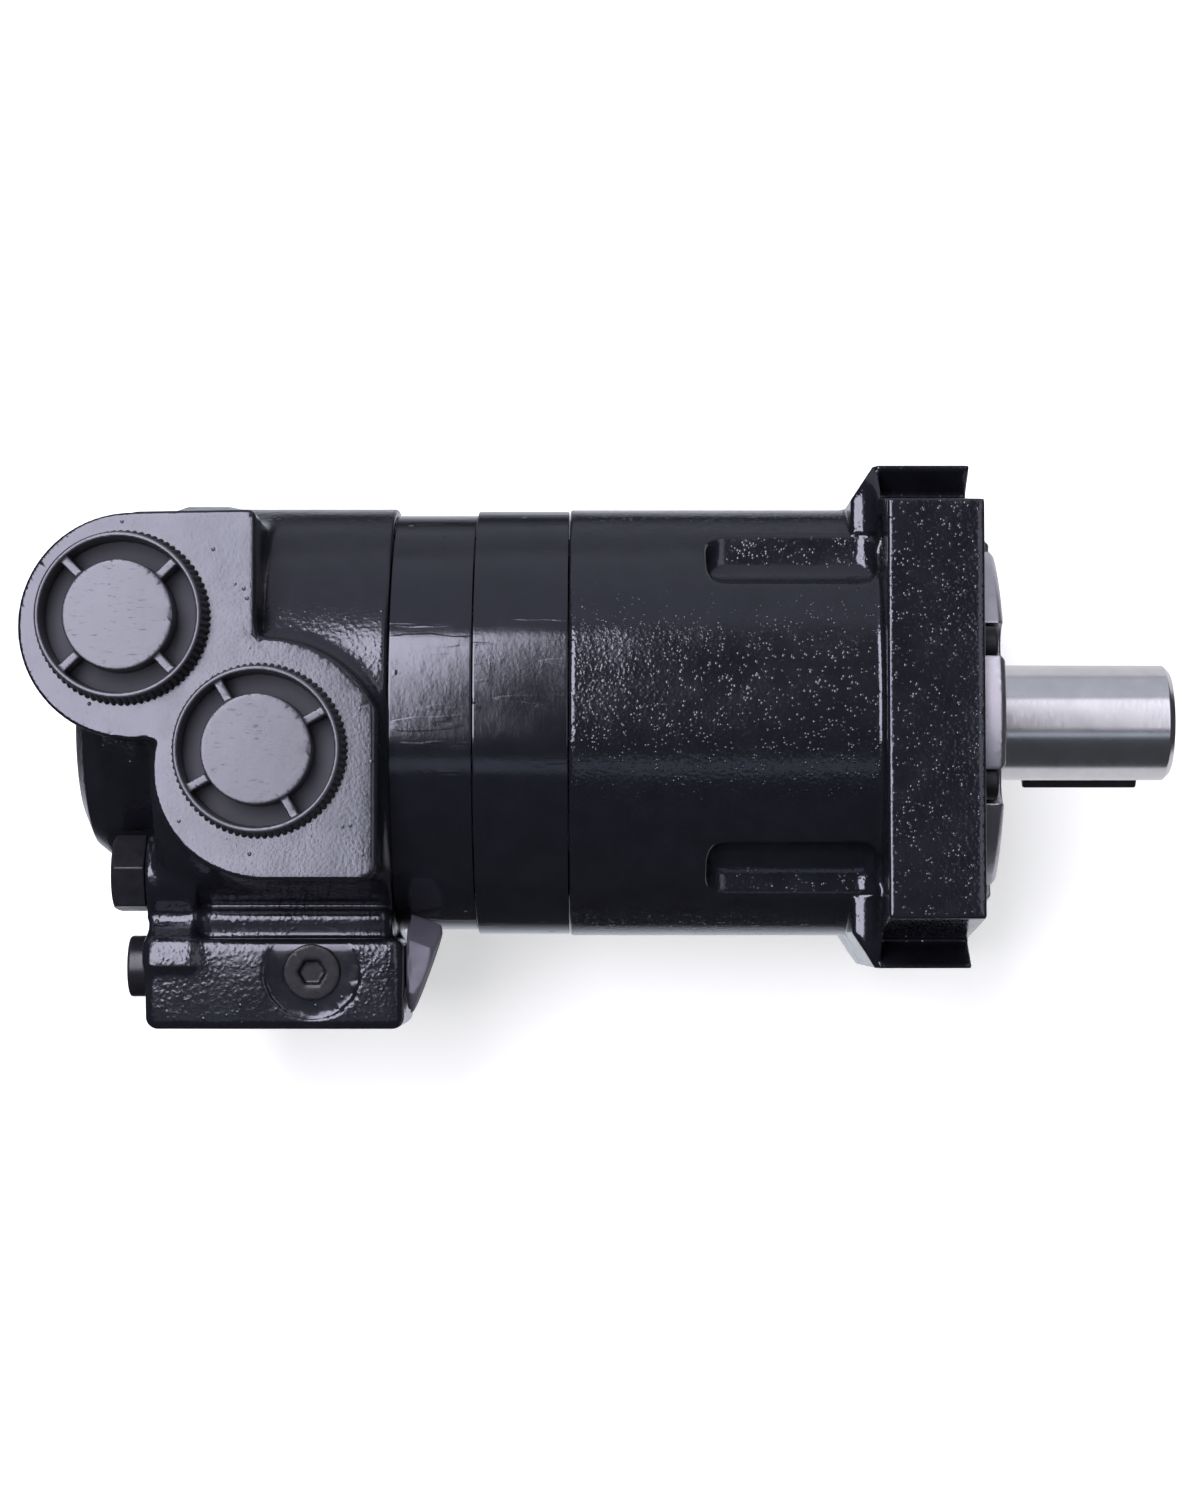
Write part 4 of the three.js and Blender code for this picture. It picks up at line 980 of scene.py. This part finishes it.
def output_shaft():
    profile = [
        (SHAFT_LENGTH, 0),
        (SHAFT_LENGTH, SHAFT_RADIUS - 1.6),
        (SHAFT_LENGTH - 1.6, SHAFT_RADIUS),
        (SEAL_LAND_END + 1, SHAFT_RADIUS),
        (SEAL_LAND_END, SEAL_LAND),
        (-13, SEAL_LAND),
        (-13, 20),
        (FRONT_CUP_FACE, 20),
        (FRONT_CUP_FACE, 24),
        (-44, 24),
        (-52, 29),
        (REAR_CUP_FACE, 29),
        (REAR_CUP_FACE, 25),
        (-96, 25),
        (-96, 0),
    ]
    mesh = lathe("output_shaft_turned", eased(profile, 0.25), 160)
    slot = prism_mesh("slot", key_outline(0.1), KEY_START + KEY_LENGTH + 0.15, KEY_START - 0.15)
    spline = prism_mesh("spline", spline_outline(SPLINE_ROOT, SPLINE_TIP, 0.8), SPLINE_FRONT, -100)
    mesh = carved(mesh, [slot, spline])
    show(shaded(mesh, 28), "output_shaft_turned", "steel", "output_shaft", "shaft")


def shaft_key():
    volume = Volume((KEY_START - 1, -22, -12), (KEY_START + KEY_LENGTH + 1, -8, 1), SMALL_STEP)
    volume.add(along_x(rounded(key_outline(0), 0.5), KEY_START + KEY_LENGTH, KEY_START, 0.6))
    show_volume(volume, "shaft_key_bar", 0.0, "black_oxide", "shaft_key", "shaft")


def seal_retainer():
    volume = Volume((-13.5, -51.5, -51.5), (8, 51.5, 51.5), RETAINER_STEP)
    spigot = SPIGOT_BORE - GAP
    body = [
        (PILOT_HEIGHT, 23.6),
        (PILOT_HEIGHT, PILOT_RADIUS - 1.2),
        (PILOT_HEIGHT - 1.2, PILOT_RADIUS),
        (-RECESS + GAP, PILOT_RADIUS),
        (-RECESS + GAP, spigot),
        (-12.7, spigot),
        (-12.7, 25.6),
        (-1, 25.6),
        (-1, SEAL_LAND + 0.7),
        (1.5, SEAL_LAND + 0.7),
        (1.5, 23.6),
    ]
    volume.add(turned(rounded(body, 0.4, 3), ring=True))
    for y, z in screw_points():
        near = ((-7, y - 8, z - 8), (10, y + 8, z + 8))
        volume.cut(rod_x(PILOT_HEIGHT + 2, SCREW_SEAT - GAP, y, z, SCREW_HEAD + 0.5), 0.5, near)
        volume.cut(rod_x(5, -8, y, z, SCREW_HOLE), 0, near)
    show_volume(volume, "seal_retainer_plate", 0.004, "retainer", "seal_retainer")


def socket_screw_mesh():
    """A socket head screw with its seat at station 0, on the motor's axis."""
    volume = Volume((-15.5, -5.5, -5.5), (SCREW_HEIGHT + 0.5, 5.5, 5.5), SMALL_STEP)
    volume.add(rod_x(SCREW_HEIGHT, 0, 0, 0, SCREW_HEAD, 0.5))
    volume.add(rod_x(1, -14.8, 0, 0, 3, 0.5), 0.3)
    volume.cut(along_x(regular(6, 5 / math.sqrt(3)), 9, SCREW_HEIGHT - 2.6), 0.3)
    return volume.mesh("socket_screw", 0.01)


def moved_copy(mesh, name, station, y, z):
    """A copy of a mesh that was built on the motor's axis at station 0."""
    copy = mesh.copy()
    copy.name = name
    copy.transform(Matrix.Translation((station * MM, y * MM, z * MM)))
    return copy


def retainer_screws():
    screw = socket_screw_mesh()
    for i, (y, z) in enumerate(screw_points()):
        name = f"socket_screw_{i + 1}"
        mesh = moved_copy(screw, name, SCREW_SEAT, y, z)
        show(mesh, name, "black_oxide", f"retainer_screw_{i + 1}")


def dust_seal():
    inner = SEAL_LAND + GAP
    body = [(2, inner + 1), (2, 23.3), (6.4, 23.3), (6.6, 22.8)]
    lip = [(6.2, inner + 2.6), (7.2, inner + 0.2), (7, inner), (5.6, inner)]
    mesh = lathe("dust_lip", body + lip, 160, closed=True)
    show(shaded(mesh, 50), "dust_lip", "rubber", "dust_seal")


# ---------------------------------------------------------------- bolts and plugs


def hexagon_rod(flats, length, edge=0.35):
    """A hex head along X from 0 to length, with its outer end chamfered."""
    prism = along_x(regular(6, flats / math.sqrt(3)), length, 0, edge)

    def distance(u, y, z):
        cone = (np.hypot(y, z) - flats / 2 + 0.2 + (u - length) * math.sqrt(3)) / 2
        return corner(prism(u, y, z), cone, 0.3)

    return distance


def tie_bolts():
    seat = BOLT_SEAT - GAP
    turn = Matrix.Rotation(math.pi, 4, "Y") @ Matrix.Rotation(TIE_TURN, 4, "X")
    head = Volume((-10, -12, -12), (1, 12, 12), SMALL_STEP)
    head.add(placed(hexagon_rod(TIE_FLATS, TIE_HEAD), turn))
    head.add(rod_x(1, -1.2, 0, 0, 9.2, 0.2))
    head.keep(lambda u, y, z: u + 0 * y + 0 * z)
    head_mesh = head.mesh("tie_head", 0.01)
    tip = -90 - seat
    shank = lathe("tie_shank", eased([(tip, 0), (tip, TIE_RADIUS), (-0.6, TIE_RADIUS), (-0.6, 0)], 0.6), 48)
    bm = bmesh.new()
    bm.from_mesh(head_mesh)
    bm.from_mesh(shank)
    joined = mesh_of(bm, "tie")
    for i, (y, z) in enumerate(TIE_POINTS):
        name = f"hex_bolt_{i + 1}"
        mesh = shaded(moved_copy(joined, name, seat, y, z), 40)
        show(mesh, name, "black_oxide", f"tie_bolt_{i + 1}")


def front_plug():
    """Round collar and leaning hex head at the front end of the shuttle bore."""
    seat = BLOCK["front"] + GAP
    rim = seat + 1.2
    volume = Volume((-160, -83, 8), (-137, -51, 36), SMALL_STEP)
    lean = Matrix.Translation((rim, SHUTTLE_Y, SHUTTLE_Z)) @ Matrix.Rotation(math.radians(-20), 4, "Z")
    stretched = lean @ Matrix.Translation((-12, 0, 0))
    volume.add(placed(hexagon_rod(22.5, 16.5), stretched))
    volume.keep(lambda u, y, z: rim - 0.4 - u + 0 * y + 0 * z)
    volume.add(rod_x(rim, seat, SHUTTLE_Y, SHUTTLE_Z, 11.5, 0.4), 0.4)
    volume.add(rod_x(seat + 0.5, -159, SHUTTLE_Y, SHUTTLE_Z, SHUTTLE_BORE - GAP, 0.4))
    show_volume(volume, "shuttle_plug_front", 0.01, "phosphate", "front_shuttle_plug")


def rear_plug():
    seat = BOLT_SEAT - GAP
    volume = Volume((-225, -76, 13), (-210, -57, 31), SMALL_STEP)
    volume.add(rod_x(seat, seat - 5.5, SHUTTLE_Y, SHUTTLE_Z, 8.2, 0.8))
    volume.add(rod_x(-211, seat - 1, SHUTTLE_Y, SHUTTLE_Z, SHUTTLE_BORE - GAP, 0.4))
    socket = regular(6, 6 / math.sqrt(3), centre=(SHUTTLE_Y, SHUTTLE_Z))
    volume.cut(along_x(socket, seat - 2.5, seat - 9), 0.3)
    show_volume(volume, "shuttle_plug_rear", 0.01, "black_oxide", "rear_shuttle_plug")


def relief_plug():
    """A round head with a hex socket, leaning with the block's near face."""
    seat = BLOCK["near"] - SPOT_DEPTH + GAP
    u, y, lean = RELIEF_U, RELIEF_Y, block_lean()
    volume = Volume((u - 8.5, y - 9.5, seat - 6), (u + 8.5, y + 8.5, seat + 2), SMALL_STEP)
    volume.add(placed(rod_z(u, y, RELIEF_HEAD, seat, seat + 1.0, 0.4), lean))
    volume.add(placed(rod_z(u, y, RELIEF_BORE - GAP, seat - 1.9, seat + 0.5), lean))
    socket = rounded(regular(6, 3.5, centre=(u, y)), 0.5)
    volume.cut(placed(along_z(socket, seat - 1.1, seat + 3), lean), 0.8)
    show_volume(volume, "relief_plug_head", 0.01, "black_oxide", "relief_plug")


def drain_plug():
    seat = DRAIN_REAR - GAP
    volume = Volume((-240, DRAIN_Y - 11, -11), (-216, DRAIN_Y + 11, 11), SMALL_STEP)
    about = Matrix.Rotation(math.pi, 4, "Y") @ Matrix.Rotation(math.radians(30), 4, "X")
    volume.add(placed(hexagon_rod(17, 7.5), Matrix.Translation((seat, DRAIN_Y, 0)) @ about))
    volume.add(rod_x(seat, seat - 1.5, DRAIN_Y, 0, 9.2, 0.4), 0.3)
    volume.add(rod_x(-217, seat - 1, DRAIN_Y, 0, DRAIN_BORE - GAP, 0.4))
    show_volume(volume, "drain_plug_head", 0.01, "hard_steel", "drain_plug")


# ---------------------------------------------------------------- transport caps


def knurled_skirt(u0, y0, base, top):
    """The sloping outer wall, with round teeth that fade out below the rim."""

    def distance(u, y, z):
        radius = np.hypot(u - u0, y - y0)
        share = np.clip((z - base) / (top - base), 0, 1)
        wall = CAP_BASE - 0.1 + (CAP_RIM - CAP_BASE) * share
        valleys = 1 - np.abs(np.cos(CAP_TEETH / 2 * np.arctan2(y - y0, u - u0)))
        depth = CAP_TOOTH_DEPTH * np.clip((top - 0.9 - z) / 0.7, 0, 1)
        return corner((radius - wall + depth * valleys) * 0.85, between(z, base, top), 0.35)

    return distance


def port_cap(place, letter, spoke_angle):
    """A plug with a knurled skirt, a ring-shaped recess crossed by four spokes, and a domed disc."""
    u0, y0 = place
    base = PORT_FACE + GAP
    top = base + CAP_HEIGHT
    reach = CAP_BASE + 1.2
    low, high = (u0 - reach, y0 - reach, base - 12), (u0 + reach, y0 + reach, top + 0.5)
    volume = Volume(low, high, CAP_STEP)
    volume.add(knurled_skirt(u0, y0, base, top))
    inner = CAP_RIM - CAP_WALL
    floor = top - CAP_RECESS
    hollow = [(CAP_DISC, floor), (inner - 0.5, floor), (inner, top + 3), (CAP_DISC, top + 3)]

    def recess(u, y, z):
        radius = np.hypot(u - u0, y - y0)
        return outline_distance(hollow, radius, z)

    volume.cut(recess, 0.4)
    reach = inner + 0.4
    bar = block_shape((-reach, -CAP_SPOKE, floor - 1), (reach, CAP_SPOKE, top - 0.7), 0.2)
    for angle in (spoke_angle, spoke_angle + 90):
        turn = Matrix.Translation((u0, y0, 0)) @ Matrix.Rotation(math.radians(angle), 4, "Z")
        volume.add(placed(bar, turn), 0.25)
    crown = [(0, 0), (5, -0.03), (9, -0.1), (11.5, -0.25), (13, -0.55), (13.8, -1), (CAP_DISC, -1.6)]
    dome = [(0, base - 1), (CAP_DISC, base - 1), *[(radius, top + drop) for radius, drop in crown[::-1]]]
    volume.add(turned_up(dome, u0, y0), 0.25)
    volume.add(rod_z(u0, y0, CAP_STEM, base - 11, base + 1, 0.6), 0.3)
    name = f"transport_cap_{letter}"
    show_volume(volume, name, 0.004, "plastic", f"port_cap_{letter}", f"port_cap_{letter}")


# ---------------------------------------------------------------- inner pieces, floor, light and camera

INNER_LOOKS = {
    "shaft_seal": "rubber",
    "housing_o_ring": "rubber",
    "ring_o_ring": "rubber",
    "plate_o_ring": "rubber",
    "disc_valve": "bronze",
    "balance_spring": "spring_steel",
    "front_shuttle_spring": "spring_steel",
    "rear_shuttle_spring": "spring_steel",
    "relief_spring": "spring_steel",
}


def dress_inner_nodes():
    """The pieces inside the castings are the CAD nodes themselves, with softened edges and a finish."""
    for name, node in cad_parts.items():
        if node.hide_render:
            continue
        node.data.materials.clear()
        node.data.materials.append(LOOKS[INNER_LOOKS.get(name, "hard_steel")])
        shaded(node.data, 30)
        bevel = node.modifiers.new("softened edges", "BEVEL")
        bevel.width = 0.15 * MM
        bevel.segments = 2
        bevel.limit_method = "ANGLE"
        bevel.angle_limit = math.radians(40)


def seen_only_by(thing, *rays):
    """Hides a stage piece from the other kinds of ray, as a photographer keeps a card out of frame."""
    for ray in ("camera", "diffuse", "glossy", "shadow", "transmission", "volume_scatter"):
        setattr(thing, f"visible_{ray}", ray in rays)


def stage_piece(mesh, material, *rays):
    mesh.shade_smooth()
    mesh.materials.append(material)
    piece = bpy.data.objects.new(mesh.name, mesh)
    bpy.context.scene.collection.objects.link(piece)
    seen_only_by(piece, *rays)


def sweep():
    """A pale floor that curves up into a wall all round, far from the motor."""
    level = SHAFT_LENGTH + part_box("bearing_housing")[0].z / MM - 0.2
    reach, bend, top = 8000, 2000, 5000
    profile = [(0, 0), (500, 0), (2000, 0), (reach, 0)]
    turns = np.linspace(0.2, math.pi / 2, 8)
    profile += [(reach + bend * math.sin(t), bend - bend * math.cos(t)) for t in turns]
    profile += [(reach + bend, top)]
    mesh = lathe("floor", [(level + height, radius) for radius, height in profile], 64)
    mesh.transform(Matrix.Rotation(-math.pi / 2, 4, "Y"))
    stage_piece(mesh, bench(), "camera", "diffuse")


def reflector_card():
    """A white card below the shaft, out of the camera's sight, that the bare steel reflects."""
    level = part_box("bearing_housing")[0].z + 0.001
    bm = bmesh.new()
    bmesh.ops.create_grid(bm, x_segments=1, y_segments=1, size=1)
    bmesh.ops.scale(bm, verts=bm.verts, vec=(0.1, 0.3, 1))
    bmesh.ops.translate(bm, verts=bm.verts, vec=(0.055, 0, level))
    look = Look("card", (0, 0, 0), 1.0, Emission_Color=(0.97, 0.97, 1.0, 1.0), Emission_Strength=0.8)
    stage_piece(mesh_of(bm, "reflector_card"), look.material, "glossy")


def soft_box(name, across, up, radiance, color=(1, 1, 1)):
    """A rectangular light given by the angles of its edges from the vertical, towards +X and towards +Y."""
    distance = 2.4
    aside, along = (math.radians(sum(edges) / 2) for edges in (across, up))
    towards = Vector((math.tan(aside), math.tan(along), 1)).normalized()
    data = bpy.data.lights.new(name, "AREA")
    data.shape = "RECTANGLE"
    data.size = 2 * distance * math.tan(math.radians(across[1] - across[0]) / 2)
    data.size_y = 2 * distance * math.tan(math.radians(up[1] - up[0]) / 2)
    data.energy = radiance * 4 * data.size * data.size_y
    data.color = color
    light = bpy.data.objects.new(name, data)
    side = Vector((0, 1, 0)).cross(towards).normalized()
    turn = Matrix((side, towards.cross(side), towards)).transposed()
    light.location = Vector((-0.15, 0, 0)) + towards * distance
    light.rotation_euler = turn.to_euler()
    bpy.context.scene.collection.objects.link(light)


def surroundings():
    """The room: dark above, a pale wall on the +Y side, pale straight below."""
    world = bpy.data.worlds.new("room")
    world.use_nodes = True
    nodes, links = world.node_tree.nodes, world.node_tree.links

    def ramp(value, low, high, to_low, to_high):
        made = nodes.new("ShaderNodeMapRange")
        settings = {"From Min": low, "From Max": high, "To Min": to_low, "To Max": to_high}
        for key, number in settings.items():
            made.inputs[key].default_value = number
        links.new(value, made.inputs["Value"])
        return made.outputs[0]

    def combine(operation, a, b):
        made = nodes.new("ShaderNodeMath")
        made.operation = operation
        links.new(a, made.inputs[0])
        links.new(b, made.inputs[1])
        return made.outputs[0]

    direction = nodes.new("ShaderNodeSeparateXYZ")
    links.new(nodes.new("ShaderNodeTexCoord").outputs["Generated"], direction.inputs[0])
    wall = ramp(direction.outputs[1], 0.66, 0.8, 0.07, 0.68)
    lower = ramp(direction.outputs[2], -0.25, -0.1, 0.55, 1.0)
    below = ramp(direction.outputs[2], -0.94, -0.8, 0.85, 0.0)
    links.new(combine("MAXIMUM", combine("MULTIPLY", wall, lower), below), nodes["Background"].inputs[1])
    nodes["Background"].inputs[0].default_value = (0.86, 0.9, 1.0, 1)
    bpy.context.scene.world = world


def studio():
    cool = (0.94, 0.93, 1.0)
    soft_box("main soft box", (-27, -5), (-10, 46), 9.2, cool)
    soft_box("second soft box", (12, 27), (-14, 45), 1.3, cool)
    soft_box("low strip", (-12, 30), (-30, -23), 0.55, (0.75, 0.86, 1.0))
    surroundings()
    bpy.context.scene.view_settings.view_transform = "Standard"


def camera():
    """Almost straight above the ports, leaning a little towards the shuttle block."""
    elevation = math.radians(87.2)
    back = Vector((0, -math.cos(elevation), math.sin(elevation)))
    data = bpy.data.cameras.new("camera")
    data.lens = 76.5
    data.sensor_width = 36
    data.dof.use_dof = False
    made = bpy.data.objects.new("camera", data)
    made.location = Vector((-0.1565, -0.0075, 0)) + back * 0.88
    made.rotation_mode = "QUATERNION"
    made.rotation_quaternion = back.to_track_quat("Z", "Y")
    bpy.context.scene.collection.objects.link(made)
    bpy.context.scene.camera = made


valve_housing()
bearing_housing()
rings()
output_shaft()
shaft_key()
seal_retainer()
retainer_screws()
dust_seal()
tie_bolts()
front_plug()
rear_plug()
relief_plug()
drain_plug()
port_cap(PORT_A, "a", 44)
port_cap(PORT_B, "b", 30)
dress_inner_nodes()
sweep()
reflector_card()
studio()
camera()
